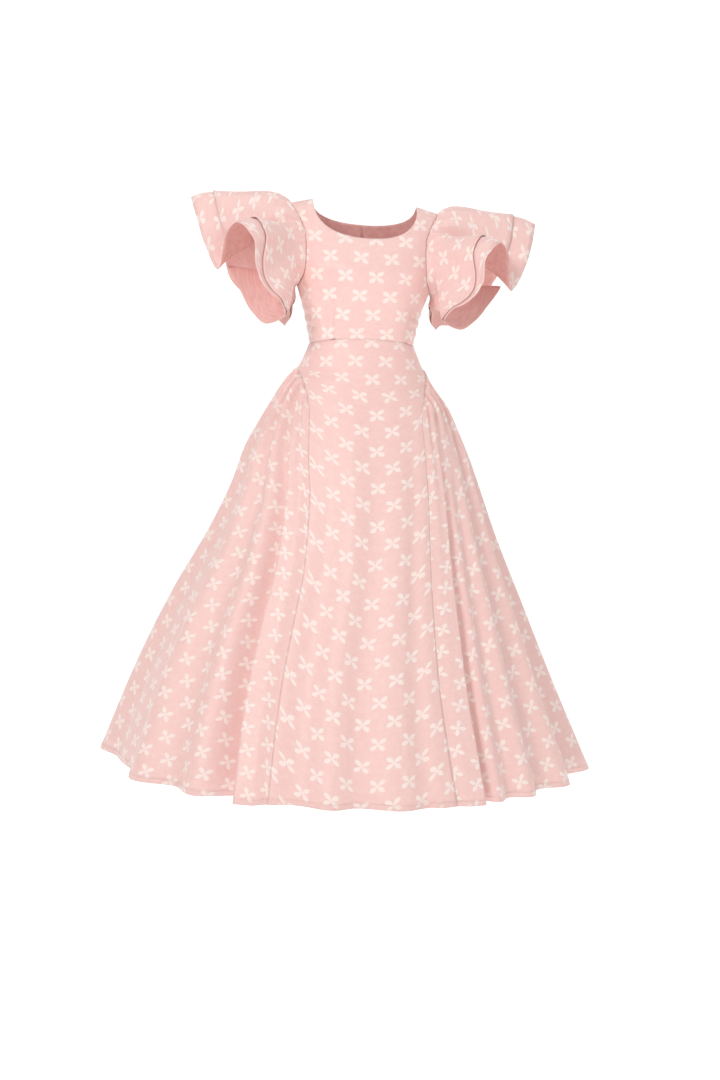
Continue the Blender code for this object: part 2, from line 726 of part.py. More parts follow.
def gather_wave(number, count):
    """The gathers' rise and fall from column to column, uneven, and still at the ends."""
    t = number / count
    ends = min(1.0, 8 * t, 8 * (1 - t))
    return math.sin(2 * math.pi * number / COLUMNS_A_GATHER) * ends * (1 + 0.25 * math.sin(9 * t + 1))


def gather_shape(below):
    """The gathers' share of their full height, at this distance below the seam."""
    crest = between(0.25, 1.0, min(below / GATHER_CREST, 1.0))
    return crest * math.exp(-max(below - GATHER_CREST, 0.0) / GATHER_LENGTH)


# Sleeves: each flounce runs from the armhole to its own edge

rim_x, rim_y, rim_z, rim_lift, rim_push, rim_reach = (
    curve(FLOUNCE, "seam", field) for field in ("x", "y", "z", "lift", "push", "reach")
)


def armhole_stations(back):
    """The corners of a left bodice panel's armhole edge, from the underarm up, from the body's centre."""
    shares = [CHEST_SHARE * k / SIDE_COLUMNS for k in range(SIDE_COLUMNS)]
    shares += [between(CHEST_SHARE, STRAP_SHARE, k / CHEST_ROWS) for k in range(CHEST_ROWS)]
    shares += [between(STRAP_SHARE, 1.0, k / STRAP_ROWS) for k in range(STRAP_ROWS + 1)]
    found = []
    for share in shares:
        angle, z = armhole_edge(share, back)
        found.append((share, torso(angle, z) - AXIS_X * body_centre(z)))
    return found


FRONT_ARMHOLE = armhole_stations(back=False)
BACK_ARMHOLE = armhole_stations(back=True)


def armhole_point(seam):
    """A point on the bodice's armhole edge: 0 and 1 at the underarm, a half at the shoulder tip."""
    share = 2 * min(seam, 1 - seam)
    stations = BACK_ARMHOLE if seam > 0.5 else FRONT_ARMHOLE
    for (low, start), (high, end) in zip(stations, stations[1:]):
        if share <= high + 1e-9:
            return start.lerp(end, (share - low) / (high - low))
    return stations[-1][1]


def flounce_point(seam, reach):
    """A point of the upper flounce's face on a left sleeve, 0 at the armhole and 1 at its edge.

    The cloth leaves the armhole like a tube round the arm, then turns towards its place on the edge.
    """
    start = armhole_point(seam)
    end = Vector((rim_x(seam), rim_y(seam), rim_z(seam)))
    middle = between(UNDERARM, SHOULDER_TIP, 0.5)
    away = Vector((0.0, start.y, start.z - middle)).normalized()
    under = eased((-away.z - 0.2) / 0.8)
    leave = Vector((0.85, 0.0, 0.0)) + away * between(0.45, 0.25, under)
    length = (end - start).length
    first = start + leave * length * FLOUNCE_START
    second = start.lerp(end, FLOUNCE_TURN) + Vector((0.0, rim_push(seam), rim_lift(seam))) * FLOUNCE_LIFT
    start = start + leave.normalized() * FLOUNCE_CLEAR
    if reach > 1.0:
        over = reach - 1.0
        heading = (end - second).normalized()
        return end + heading * length * over - Vector((0.0, 0.0, length * OVERHANG_DROP * over * over))
    rest = 1 - reach
    return rest**3 * start + 3 * rest**2 * reach * first + 3 * rest * reach**2 * second + reach**3 * end


def flounce_normal(seam, reach):
    step = 0.004
    before = max(seam - step, 0.0)
    after = min(seam + step, 1.0)
    along = flounce_point(after, reach) - flounce_point(before, reach)
    low = max(reach - step, 0.0)
    down = flounce_point(seam, reach + step) - flounce_point(seam, low)
    return down.cross(along).normalized()


def flounce(name, side, under):
    """One layer of a sleeve. The under layer lies inside the upper one and reaches further."""
    seams = []
    for rim, following in zip(FLOUNCE, FLOUNCE[1:]):
        seams += [between(rim.seam, following.seam, step / rim.columns) for step in range(rim.columns)]
    points = {}
    backs = {}
    for r, share in enumerate(FLOUNCE_ROWS + ((None,) if under else ())):
        for number, seam in enumerate(seams):
            reach = rim_reach(seam) if share is None else share
            normal = flounce_normal(seam, reach)
            if under:
                lifted = -(LAYER_STEP + LAYER_SPREAD * min(reach, 1.0))
            else:
                low, high = GATHERED_HEAD
                head = max(math.sin(math.pi * min(max((seam - low) / (high - low), 0.0), 1.0)), 0.0)
                fade = between(0.2, 1.0, min(reach / 0.2, 1.0)) * (1 - eased((reach - 0.2) / 0.5))
                wave = (1 + math.sin(2 * math.pi * number / COLUMNS_A_GATHER)) / 2
                lifted = SLEEVE_GATHER_HEIGHT * head * fade * wave
            spot = (r, (side * number) % len(seams))
            for found, lift in ((points, lifted), (backs, lifted - FLOUNCE_WALL)):
                point = flounce_point(seam, reach) + normal * lift
                found[spot] = posed(Vector((side * point.x + body_centre(point.z), point.y, point.z)))
    cloth(name, points, wrap=len(seams), backs=backs)


# Zip slider and pull, on the closed seam at the centre back


def back_frame():
    """The slider's place: X across the back, Z up along the seam, Y out of the cloth."""
    level = NECK_CORNER - BACK_NECK_DROP - SLIDER_BELOW_NECK
    middle = posed(torso(180.0, level))
    reach = SLIDER_SIZE[1] / 2
    up = (posed(torso(180.0, level + reach)) - posed(torso(180.0, level - reach))).normalized()
    turn = math.radians(turn_at(level))
    across = Vector((math.cos(turn), math.sin(turn), 0.0))
    across = (across - up * across.dot(up)).normalized()
    out = up.cross(across)
    return Matrix.Translation(middle) @ Matrix((across, out, up)).transposed().to_4x4()


def block(shape, low, high):
    """A box between two corners, added to a bmesh."""
    size = Vector(high) - Vector(low)
    middle = (Vector(high) + Vector(low)) / 2
    bmesh.ops.create_cube(shape, size=1.0, matrix=Matrix.Translation(middle) @ Matrix.Diagonal((*size, 1.0)))


def extruded(name, outline, hole, depth, axis_matrix, colour):
    """A flat piece with a hole through it, from two closed outlines with the same number of points."""
    shape = bmesh.new()
    for y in (-depth / 2, depth / 2):
        rings = [[shape.verts.new((x, y, z)) for x, z in ring] for ring in (outline, hole)]
        count = len(outline)
        for i in range(count):
            n = (i + 1) % count
            shape.faces.new((rings[0][i], rings[0][n], rings[1][n], rings[1][i]))
    shape.verts.ensure_lookup_table()
    count = len(outline)
    for ring in range(2):
        for i in range(count):
            n = (i + 1) % count
            a, b = ring * count, (2 + ring) * count
            shape.faces.new((shape.verts[a + i], shape.verts[a + n], shape.verts[b + n], shape.verts[b + i]))
    bmesh.ops.recalc_face_normals(shape, faces=shape.faces)
    mesh = bpy.data.meshes.new(name)
    shape.to_mesh(mesh)
    shape.free()
    mesh.materials.append(finish(name, colour, 0.35, 0.6))
    piece = bpy.data.objects.new(name, mesh)
    piece.matrix_world = axis_matrix
    bpy.context.collection.objects.link(piece)
    return piece


def slider(place):
    """A slider seen from its side: a plate with a bridge over it, cut from one outline across its width."""
    width, length, thick = SLIDER_SIZE
    shape = bmesh.new()
    block(shape, (-width / 2, SLIDER_LIFT, -length / 2), (width / 2, SLIDER_LIFT + thick, length / 2))
    mesh = bpy.data.meshes.new("zip_slider")
    shape.to_mesh(mesh)
    shape.free()
    piece = bpy.data.objects.new("zip_slider", mesh)
    bpy.context.collection.objects.link(piece)
    floor = SLIDER_LIFT + thick
    roof = floor + BRIDGE_INNER
    reach = BRIDGE_LENGTH / 2
    sink = thick / 2
    bars = {
        "bridge_foot_low": (
            (-BRIDGE_WIDTH / 2, floor - sink, -reach),
            (BRIDGE_WIDTH / 2, roof + sink, BRIDGE_BAR - reach),
        ),
        "bridge_foot_high": (
            (-BRIDGE_WIDTH / 2, floor - sink, reach - BRIDGE_BAR),
            (BRIDGE_WIDTH / 2, roof + sink, reach),
        ),
        "bridge_top": ((-BRIDGE_WIDTH / 2, roof, -reach), (BRIDGE_WIDTH / 2, roof + BRIDGE_BAR, reach)),
    }
    for name, (low, high) in bars.items():
        shape = bmesh.new()
        if name != "bridge_top":
            high = (high[0], roof + BRIDGE_BAR / 2, high[2])
        block(shape, low, high)
        bar_mesh = bpy.data.meshes.new(name)
        shape.to_mesh(bar_mesh)
        shape.free()
        bar = bpy.data.objects.new(name, bar_mesh)
        bar.hide_render = True
        bar.display_type = "WIRE"
        bar.matrix_world = place
        bpy.context.collection.objects.link(bar)
        join = piece.modifiers.new(name, "BOOLEAN")
        join.operation = "UNION"
        join.object = bar
    mesh.materials.append(finish("zip_slider", METAL_PINK, 0.35, 0.6))
    piece.matrix_world = place
    return piece


def pull(place):
    """The pull tab, its crossbar under the slider's bridge and its origin on that bar."""
    hinge = Matrix.Translation((0.0, SLIDER_LIFT + SLIDER_SIZE[2] + BRIDGE_INNER / 2, 0.0))
    half = PULL_WIDTH / 2
    eye = PULL_EYE_WIDTH / 2
    top = PULL_BAR / 2
    low = top - PULL_LENGTH
    corner = half * 0.6
    outline = (
        (-half, top), (half, top), (half, low + corner),
        (corner, low), (-corner, low), (-half, low + corner),
    )
    floor = -top - PULL_EYE_LENGTH
    hole = ((-eye, -top), (eye, -top), (eye, floor / 2), (eye, floor), (-eye, floor), (-eye, floor / 2))
    return extruded("zip_pull", outline, hole, PULL_THICKNESS, place @ hinge, METAL_PINK)


for old in list(bpy.data.objects):
    bpy.data.objects.remove(old)

bodice_front()
bodice_back("bodice_back_right", -1)
bodice_back("bodice_back_left", 1)

hung_panel("skirt_front", FRONT_FOLDS, ("right", -1), ("left", 1))
gathered_panel("skirt_side_right", RIGHT_FOLDS, "right", -1)
gathered_panel("skirt_side_left", LEFT_FOLDS, "left", 1)
hung_panel("skirt_back_left", BACK_FOLDS, ("back", 1), (None, 180.0))
hung_panel("skirt_back_right", BACK_FOLDS, ("back", -1), (None, -180.0))

for side_name, side_sign in (("right", -1), ("left", 1)):
    flounce(f"flounce_upper_{side_name}", side_sign, under=False)
    flounce(f"flounce_under_{side_name}", side_sign, under=True)

zip_place = back_frame()
slider(zip_place)
pull(zip_place)
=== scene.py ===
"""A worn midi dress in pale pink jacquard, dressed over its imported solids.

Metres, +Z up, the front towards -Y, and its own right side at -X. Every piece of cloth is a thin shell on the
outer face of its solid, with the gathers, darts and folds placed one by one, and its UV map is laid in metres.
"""

import math
from bisect import bisect_right
from collections import namedtuple

import bmesh
import bpy
from mathutils import Matrix, Vector


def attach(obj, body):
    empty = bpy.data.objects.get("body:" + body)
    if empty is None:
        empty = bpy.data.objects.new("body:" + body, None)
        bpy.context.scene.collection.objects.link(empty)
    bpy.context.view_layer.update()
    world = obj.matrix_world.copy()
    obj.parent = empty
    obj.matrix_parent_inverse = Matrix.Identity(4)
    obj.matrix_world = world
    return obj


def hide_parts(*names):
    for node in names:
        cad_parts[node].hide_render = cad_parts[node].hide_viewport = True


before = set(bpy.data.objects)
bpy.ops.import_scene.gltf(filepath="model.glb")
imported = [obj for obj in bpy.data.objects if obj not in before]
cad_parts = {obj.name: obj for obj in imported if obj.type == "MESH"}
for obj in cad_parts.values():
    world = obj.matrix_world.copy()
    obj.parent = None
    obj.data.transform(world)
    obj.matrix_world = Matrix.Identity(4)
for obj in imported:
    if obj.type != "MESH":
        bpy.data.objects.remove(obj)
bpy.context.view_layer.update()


# Camera: level with the waist, a little above it, looking slightly down

CAMERA_PLACE = (-0.0086, -3.8, -0.21)
CAMERA_PITCH = 6.7
PICTURE_HEIGHT = 1080
FOCAL_PIXELS = 1952

camera_data = bpy.data.cameras.new("camera")
camera_data.sensor_fit = "VERTICAL"
camera_data.sensor_height = 36.0
camera_data.lens = FOCAL_PIXELS / PICTURE_HEIGHT * 36.0
camera = bpy.data.objects.new("camera", camera_data)
camera.location = CAMERA_PLACE
camera.rotation_euler = (math.radians(90.0 - CAMERA_PITCH), 0.0, 0.0)
bpy.context.collection.objects.link(camera)
bpy.context.scene.camera = camera


# Studio: a pale sweep that runs from the floor up behind the dress, a large soft key from the front left,
# a fill from the right and a light overhead

FLOOR = -1.58
SWEEP_HALF = 9.0
SWEEP_BACK = 8.0
SWEEP_BEND = 2.5
SWEEP_TOP = 7.5

profile = [(-7.0, FLOOR), (SWEEP_BACK - SWEEP_BEND, FLOOR)]
for step in range(1, 17):
    bend = math.pi / 2 * step / 16
    short = SWEEP_BEND * (1 - math.sin(bend))
    rise = SWEEP_BEND * (1 - math.cos(bend))
    profile.append((SWEEP_BACK - short, FLOOR + rise))
profile.append((SWEEP_BACK, SWEEP_TOP))
sweep_shape = bmesh.new()
edges = [[sweep_shape.verts.new((x, y, z)) for x in (-SWEEP_HALF, SWEEP_HALF)] for y, z in profile]
for low, high in zip(edges, edges[1:]):
    sweep_shape.faces.new((low[0], low[1], high[1], high[0]))
sweep_mesh = bpy.data.meshes.new("studio_sweep")
sweep_shape.to_mesh(sweep_mesh)
sweep_shape.free()
sweep_mesh.shade_smooth()
sweep = bpy.data.objects.new("studio_sweep", sweep_mesh)
bpy.context.collection.objects.link(sweep)

paper = bpy.data.materials.new("studio_paper")
paper.use_nodes = True
paper_shader = paper.node_tree.nodes["Principled BSDF"]
paper_shader.inputs["Base Color"].default_value = (0.90, 0.895, 0.885, 1.0)
paper_shader.inputs["Roughness"].default_value = 0.85
paper_shader.inputs["Emission Color"].default_value = (1.0, 0.995, 0.985, 1.0)
paper_shader.inputs["Emission Strength"].default_value = 0.55
paper_grain = paper.node_tree.nodes.new("ShaderNodeTexNoise")
paper_grain.inputs["Scale"].default_value = 60.0
paper_bump = paper.node_tree.nodes.new("ShaderNodeBump")
paper_bump.inputs["Distance"].default_value = 0.0008
paper_bump.inputs["Strength"].default_value = 0.2
paper.node_tree.links.new(paper_grain.outputs["Fac"], paper_bump.inputs["Height"])
paper.node_tree.links.new(paper_bump.outputs["Normal"], paper_shader.inputs["Normal"])
sweep_mesh.materials.append(paper)

Lamp = namedtuple("Lamp", "name size power place target")
LAMPS = (
    Lamp("key", 1.2, 80.0, (-2.0, -3.2, 1.8), (0.0, 0.0, -0.4)),
    Lamp("fill", 2.6, 30.0, (3.0, -2.6, 0.4), (0.0, 0.0, -0.5)),
    Lamp("top", 2.0, 26.0, (0.2, -0.2, 2.8), (0.0, 0.0, -0.5)),
    Lamp("sweep_left", 2.5, 18.0, (-3.2, 0.8, 1.8), (-0.6, 3.2, 0.0)),
    Lamp("sweep_right", 2.5, 18.0, (3.2, 0.8, 1.8), (0.6, 3.2, 0.0)),
)
for lamp in LAMPS:
    light = bpy.data.lights.new(lamp.name, "AREA")
    light.size = lamp.size
    light.energy = lamp.power
    light_object = bpy.data.objects.new(lamp.name, light)
    light_object.location = lamp.place
    aim = Vector(lamp.target) - Vector(lamp.place)
    light_object.rotation_euler = aim.to_track_quat("-Z", "Y").to_euler()
    bpy.context.collection.objects.link(light_object)

world = bpy.data.worlds.new("studio")
world.use_nodes = True
world.node_tree.nodes["Background"].inputs["Color"].default_value = (1.0, 0.985, 0.97, 1.0)
world.node_tree.nodes["Background"].inputs["Strength"].default_value = 0.31
bpy.context.scene.world = world
bpy.context.scene.view_settings.view_transform = "Standard"


# Jacquard: a four-petal blossom, drawn by two shader groups. The first draws one blossom about the middle of
# its cell, the second repeats it on a half-drop lattice and turns each one a little.

BLOSSOM_COLUMN = 0.058
BLOSSOM_ROW = 0.074
PETAL_START = 0.0002
PETAL_LENGTH = 0.0195
PETAL_HALF = 0.0040
PETAL_STEM = 0.0013
PETAL_SQUASH = 1.25
PETAL_LINE = 0.0010


def maths(tree, operation, *values, clamp=False):
    """A math node with its inputs set to numbers or linked to sockets."""
    node = tree.nodes.new("ShaderNodeMath")
    node.operation = operation
    node.use_clamp = clamp
    for i, value in enumerate(values):
        if isinstance(value, (int, float)):
            node.inputs[i].default_value = value
        else:
            tree.links.new(value, node.inputs[i])
    return node.outputs[0]


def ramped(tree, value, low, high):
    """0 below low and 1 above high, with a soft step between."""
    node = tree.nodes.new("ShaderNodeMapRange")
    node.interpolation_type = "SMOOTHSTEP"
    node.inputs["From Min"].default_value = low
    node.inputs["From Max"].default_value = high
    tree.links.new(value, node.inputs["Value"])
    return node.outputs["Result"]


def vector_maths(tree, operation, first, second):
    """A vector math node between a socket and a fixed vector or another socket."""
    node = tree.nodes.new("ShaderNodeVectorMath")
    node.operation = operation
    tree.links.new(first, node.inputs[0])
    if isinstance(second, tuple):
        node.inputs[1].default_value = second
    else:
        tree.links.new(second, node.inputs[1])
    return node.outputs[0]


blossom = bpy.data.node_groups.new("blossom", "ShaderNodeTree")
blossom.interface.new_socket("Place", in_out="INPUT", socket_type="NodeSocketVector")
blossom.interface.new_socket("Petal", in_out="OUTPUT", socket_type="NodeSocketFloat")
blossom.interface.new_socket("Line", in_out="OUTPUT", socket_type="NodeSocketFloat")
blossom_in = blossom.nodes.new("NodeGroupInput")
blossom_out = blossom.nodes.new("NodeGroupOutput")
parts = blossom.nodes.new("ShaderNodeSeparateXYZ")
blossom.links.new(blossom_in.outputs["Place"], parts.inputs[0])
wide = maths(blossom, "ABSOLUTE", parts.outputs["X"])
tall = maths(blossom, "MULTIPLY", maths(blossom, "ABSOLUTE", parts.outputs["Y"]), PETAL_SQUASH)
along = maths(blossom, "MULTIPLY", maths(blossom, "ADD", wide, tall), math.sqrt(0.5))
apart = maths(blossom, "ABSOLUTE", maths(blossom, "SUBTRACT", wide, tall))
across = maths(blossom, "MULTIPLY", apart, math.sqrt(0.5))
share = maths(blossom, "DIVIDE", maths(blossom, "SUBTRACT", along, PETAL_START), PETAL_LENGTH, clamp=True)
bulge = maths(blossom, "SINE", maths(blossom, "MULTIPLY", maths(blossom, "POWER", share, 1.35), math.pi))
stem = maths(blossom, "MULTIPLY", maths(blossom, "SUBTRACT", 1.0, share), PETAL_STEM)
body = maths(blossom, "ADD", maths(blossom, "MULTIPLY", bulge, PETAL_HALF), stem)
rim = maths(blossom, "SUBTRACT", body, across)
vein = ramped(blossom, across, 0.0002, 0.0008)
veined = maths(blossom, "ADD", maths(blossom, "MULTIPLY", vein, 0.25), 0.75)
petal = maths(blossom, "MULTIPLY", ramped(blossom, rim, -0.0002, 0.0005), veined)
outline = maths(blossom, "ABSOLUTE", maths(blossom, "ADD", rim, PETAL_LINE))
near_petal = ramped(blossom, bulge, 0.15, 0.5)
on_line = maths(blossom, "SUBTRACT", 1.0, ramped(blossom, outline, 0.0002, 0.0006))
thread = maths(blossom, "MULTIPLY", on_line, near_petal)
blossom.links.new(petal, blossom_out.inputs["Petal"])
blossom.links.new(thread, blossom_out.inputs["Line"])

lattice = bpy.data.node_groups.new("blossom_lattice", "ShaderNodeTree")
lattice.interface.new_socket("Cloth", in_out="INPUT", socket_type="NodeSocketVector")
lattice.interface.new_socket("Petal", in_out="OUTPUT", socket_type="NodeSocketFloat")
lattice.interface.new_socket("Line", in_out="OUTPUT", socket_type="NodeSocketFloat")
lattice_in = lattice.nodes.new("NodeGroupInput")
lattice_out = lattice.nodes.new("NodeGroupOutput")
found_petals = []
found_lines = []
for half in (0, 1):
    shift = (half * BLOSSOM_COLUMN / 2 + 5.0, half * BLOSSOM_ROW / 2 + 5.0, 0.0)
    moved = vector_maths(lattice, "ADD", lattice_in.outputs["Cloth"], shift)
    cell_size = (BLOSSOM_COLUMN, BLOSSOM_ROW, 1.0)
    cell_place = vector_maths(lattice, "DIVIDE", moved, cell_size)
    cell = lattice.nodes.new("ShaderNodeVectorMath")
    cell.operation = "FLOOR"
    lattice.links.new(cell_place, cell.inputs[0])
    halfway = vector_maths(lattice, "ADD", cell.outputs[0], (0.5, 0.5, 0.0))
    middle = vector_maths(lattice, "MULTIPLY", halfway, cell_size)
    local = vector_maths(lattice, "SUBTRACT", moved, middle)
    chance = lattice.nodes.new("ShaderNodeTexWhiteNoise")
    chance.noise_dimensions = "3D"
    own_cell = vector_maths(lattice, "ADD", cell.outputs[0], (half * 31.0, 0.0, 0.0))
    lattice.links.new(own_cell, chance.inputs["Vector"])
    turn = lattice.nodes.new("ShaderNodeVectorRotate")
    turn.rotation_type = "Z_AXIS"
    lattice.links.new(local, turn.inputs["Vector"])
    spin = maths(lattice, "MULTIPLY", maths(lattice, "SUBTRACT", chance.outputs["Value"], 0.5), 0.30)
    lattice.links.new(spin, turn.inputs["Angle"])
    drawn = lattice.nodes.new("ShaderNodeGroup")
    drawn.node_tree = blossom
    lattice.links.new(turn.outputs[0], drawn.inputs["Place"])
    found_petals.append(drawn.outputs["Petal"])
    found_lines.append(drawn.outputs["Line"])
lattice.links.new(maths(lattice, "MAXIMUM", *found_petals), lattice_out.inputs["Petal"])
lattice.links.new(maths(lattice, "MAXIMUM", *found_lines), lattice_out.inputs["Line"])


# The two sides of the cloth: the satin ground with its slub, weave and raised blossom outside, and the duller
# reverse, with the blossom only faintly seen, inside. The reverse's darker, warmer ground and thread are
# painted shade, standing for the shade that lies on the cloth's insides.

PINK_GROUND = (0.870, 0.560, 0.525, 1.0)
PINK_SLUB = (0.900, 0.620, 0.580, 1.0)
CREAM_THREAD = (0.960, 0.835, 0.780, 1.0)
# The reverse's ground and thread are darker and redder than the face's: painted shade for the insides
REVERSE_GROUND_PAINTED_SHADE = (0.740, 0.370, 0.350, 1.0)
REVERSE_THREAD_PAINTED_SHADE = (0.840, 0.520, 0.470, 1.0)

Weave = namedtuple("Weave", "name ground slub thread roughness raised cover")
WEAVES = (
    Weave("jacquard_face", PINK_GROUND, PINK_SLUB, CREAM_THREAD, 0.40, 0.00035, 0.85),
    Weave("jacquard_reverse_painted_shade", REVERSE_GROUND_PAINTED_SHADE, REVERSE_THREAD_PAINTED_SHADE, REVERSE_THREAD_PAINTED_SHADE, 0.62, 0.00015, 0.35),
)
cloth_finish = {}
for weave in WEAVES:
    finish = bpy.data.materials.new(weave.name)
    finish.use_nodes = True
    tree = finish.node_tree
    shader = tree.nodes["Principled BSDF"]
    flat = tree.nodes.new("ShaderNodeUVMap")
    flat.uv_map = "cut"
    pattern = tree.nodes.new("ShaderNodeGroup")
    pattern.node_tree = lattice
    tree.links.new(flat.outputs["UV"], pattern.inputs["Cloth"])
    slub_place = vector_maths(tree, "MULTIPLY", flat.outputs["UV"], (70.0, 240.0, 1.0))
    slub = tree.nodes.new("ShaderNodeTexNoise")
    slub.inputs["Scale"].default_value = 1.0
    slub.inputs["Detail"].default_value = 3.0
    tree.links.new(slub_place, slub.inputs["Vector"])
    mottle = tree.nodes.new("ShaderNodeTexNoise")
    mottle.inputs["Scale"].default_value = 90.0
    mottle.inputs["Detail"].default_value = 4.0
    tree.links.new(flat.outputs["UV"], mottle.inputs["Vector"])
    streaks = maths(tree, "MULTIPLY", slub.outputs["Fac"], 0.4)
    clouds = maths(tree, "MULTIPLY", mottle.outputs["Fac"], 0.6)
    uneven = maths(tree, "ADD", streaks, clouds)
    ground = tree.nodes.new("ShaderNodeMix")
    ground.data_type = "RGBA"
    ground.inputs["A"].default_value = weave.ground
    ground.inputs["B"].default_value = weave.slub
    tree.links.new(ramped(tree, uneven, 0.28, 0.74), ground.inputs["Factor"])
    figure = tree.nodes.new("ShaderNodeMix")
    figure.data_type = "RGBA"
    figure.inputs["B"].default_value = weave.thread
    tree.links.new(ground.outputs["Result"], figure.inputs["A"])
    outlined = maths(tree, "MULTIPLY", pattern.outputs["Line"], 0.55)
    drawn = maths(tree, "MAXIMUM", pattern.outputs["Petal"], outlined)
    tree.links.new(maths(tree, "MULTIPLY", drawn, weave.cover), figure.inputs["Factor"])
    tree.links.new(figure.outputs["Result"], shader.inputs["Base Color"])
    dull = maths(tree, "MULTIPLY", pattern.outputs["Petal"], 0.20)
    rough = maths(tree, "ADD", maths(tree, "MULTIPLY", uneven, 0.12), dull)
    tree.links.new(maths(tree, "ADD", rough, weave.roughness - 0.06), shader.inputs["Roughness"])
    warp = tree.nodes.new("ShaderNodeTexWave")
    warp.bands_direction = "X"
    warp.inputs["Scale"].default_value = 620.0
    warp.inputs["Distortion"].default_value = 0.4
    tree.links.new(flat.outputs["UV"], warp.inputs["Vector"])
    weft = tree.nodes.new("ShaderNodeTexWave")
    weft.bands_direction = "Y"
    weft.inputs["Scale"].default_value = 760.0
    weft.inputs["Distortion"].default_value = 0.6
    tree.links.new(flat.outputs["UV"], weft.inputs["Vector"])
    yarn = maths(tree, "MULTIPLY", maths(tree, "ADD", warp.outputs["Fac"], weft.outputs["Fac"]), 0.10)
    slubbed = maths(tree, "MULTIPLY", slub.outputs["Fac"], 0.45)
    height = maths(tree, "ADD", maths(tree, "ADD", drawn, yarn), slubbed)
    relief = tree.nodes.new("ShaderNodeBump")
    relief.inputs["Distance"].default_value = weave.raised
    relief.inputs["Strength"].default_value = 0.8
    tree.links.new(height, relief.inputs["Height"])
    tree.links.new(relief.outputs["Normal"], shader.inputs["Normal"])
    shader.inputs["Sheen Weight"].default_value = 0.25
    shader.inputs["Sheen Roughness"].default_value = 0.4
    shader.inputs["Specular IOR Level"].default_value = 0.5
    cloth_finish[weave.name] = finish


# Bodice: one front panel with two long darts up from the waist, and two plain backs, cut from jacquard. They
# are sewn together at the shoulders and the sides, and closed by a zip at the centre back. The tables give the
# girth and depth by level, the armholes and the pose, as on the solids.

UNDERARM = -0.170
WAIST = -0.274
WAIST_RISE = 0.010
CHEST_SHARE = 0.36
STRAP_SHARE = 0.70
CHEST_LEVEL = -0.130
FRONT_NECK_SPLIT = 52.0
BACK_NECK_SPLIT = 50.0
NECK_HALF_WIDTH = 0.0996
NECK_CORNER = -0.004
FRONT_NECK_DROP = 0.0700
BACK_NECK_DROP = 0.0400
NECK_ROUND = 2 / 2.4
SHOULDER_TIP_X = 0.142
SHOULDER_TIP = -0.014
BODICE_ROUND = 0.87

Pose = namedtuple("Pose", "z turn tilt")
POSE = (
    Pose(0.050, 4.0, 0.075),
    Pose(-0.130, 4.0, 0.075),
    Pose(-0.274, 1.5, 0.025),
    Pose(-0.400, 0.0, 0.028),
    Pose(-1.100, 0.0, 0.030),
)

Girth = namedtuple("Girth", "z half centre")
BODICE = (
    Girth(0.020, 0.165, 0.000),
    Girth(-0.050, 0.160, 0.000),
    Girth(-0.100, 0.149, -0.001),
    Girth(-0.140, 0.138, -0.002),
    Girth(-0.170, 0.127, -0.003),
    Girth(-0.210, 0.1140, -0.005),
    Girth(-0.274, 0.1005, -0.006),
)

Depth = namedtuple("Depth", "under front back")
CHEST = (
    Depth(-0.010, 0.000, 0.000),
    Depth(0.000, 0.000, 0.000),
    Depth(0.010, 0.028, 0.026),
    Depth(0.030, 0.047, 0.045),
    Depth(0.066, 0.070, 0.066),
    Depth(0.100, 0.096, 0.080),
    Depth(0.135, 0.114, 0.087),
    Depth(0.170, 0.110, 0.087),
    Depth(0.210, 0.099, 0.083),
    Depth(0.274, 0.087, 0.079),
)

Armhole = namedtuple("Armhole", "share z front back")
ARMHOLE = (
    Armhole(0.00, -0.170, 0.1270, 0.1270),
    Armhole(0.12, -0.164, 0.1235, 0.1250),
    Armhole(0.30, -0.143, 0.1155, 0.1220),
    Armhole(0.50, -0.108, 0.1135, 0.1210),
    Armhole(0.68, -0.074, 0.1150, 0.1240),
    Armhole(0.84, -0.044, 0.1255, 0.1320),
    Armhole(1.00, -0.014, 0.1420, 0.1420),
)


def curve(rows, key, field):
    """A smooth function from one column of a table to another, which never overshoots the rows."""
    pairs = sorted((getattr(row, key), getattr(row, field)) for row in rows)
    keys = [pair[0] for pair in pairs]
    values = [pair[1] for pair in pairs]
    steps = [(values[i + 1] - values[i]) / (keys[i + 1] - keys[i]) for i in range(len(keys) - 1)]
    inner = [2 * a * b / (a + b) if a * b > 0 else 0.0 for a, b in zip(steps, steps[1:])]
    slopes = [steps[0], *inner, steps[-1]]

    def value(x):
        x = min(max(x, keys[0]), keys[-1])
        i = min(max(bisect_right(keys, x) - 1, 0), len(keys) - 2)
        run = keys[i + 1] - keys[i]
        t = (x - keys[i]) / run
        ease = t * t * (3 - 2 * t)
        start = slopes[i] * run * t * (1 - t) ** 2
        end = slopes[i + 1] * run * t * t * (1 - t)
        return values[i] * (1 - ease) + values[i + 1] * ease + start - end

    return value


def between(a, b, t):
    return a + (b - a) * t


def eased(t):
    t = min(max(t, 0.0), 1.0)
    return t * t * (3 - 2 * t)


def power(value, exponent):
    """A power that keeps its sign."""
    return math.copysign(abs(value) ** exponent, value)


def hump(distance, width):
    """A soft bump of height 1, this wide on each side."""
    return math.exp(-((distance / width) ** 2))


turn_at = curve(POSE, "z", "turn")
tilt_at = curve(POSE, "z", "tilt")
half_width = curve(BODICE, "z", "half")
body_centre = curve(BODICE, "z", "centre")
front_depth = curve(CHEST, "under", "front")
back_depth = curve(CHEST, "under", "back")
armhole_level = curve(ARMHOLE, "share", "z")
armhole_front = curve(ARMHOLE, "share", "front")
armhole_back = curve(ARMHOLE, "share", "back")


def posed(point):
    """A point of the upright form, with the shoulders turned a little and tipped down on the left."""
    turned = Matrix.Rotation(math.radians(turn_at(point.z)), 3, "Z") @ point
    return Vector((turned.x, turned.y, point.z - tilt_at(point.z) * point.x))


def shoulder_ridge(x):
    """The level of the shoulder seam at this distance from the centre."""
    along = (abs(x) - NECK_HALF_WIDTH) / (SHOULDER_TIP_X - NECK_HALF_WIDTH)
    return between(NECK_CORNER, SHOULDER_TIP, max(along, 0.0))


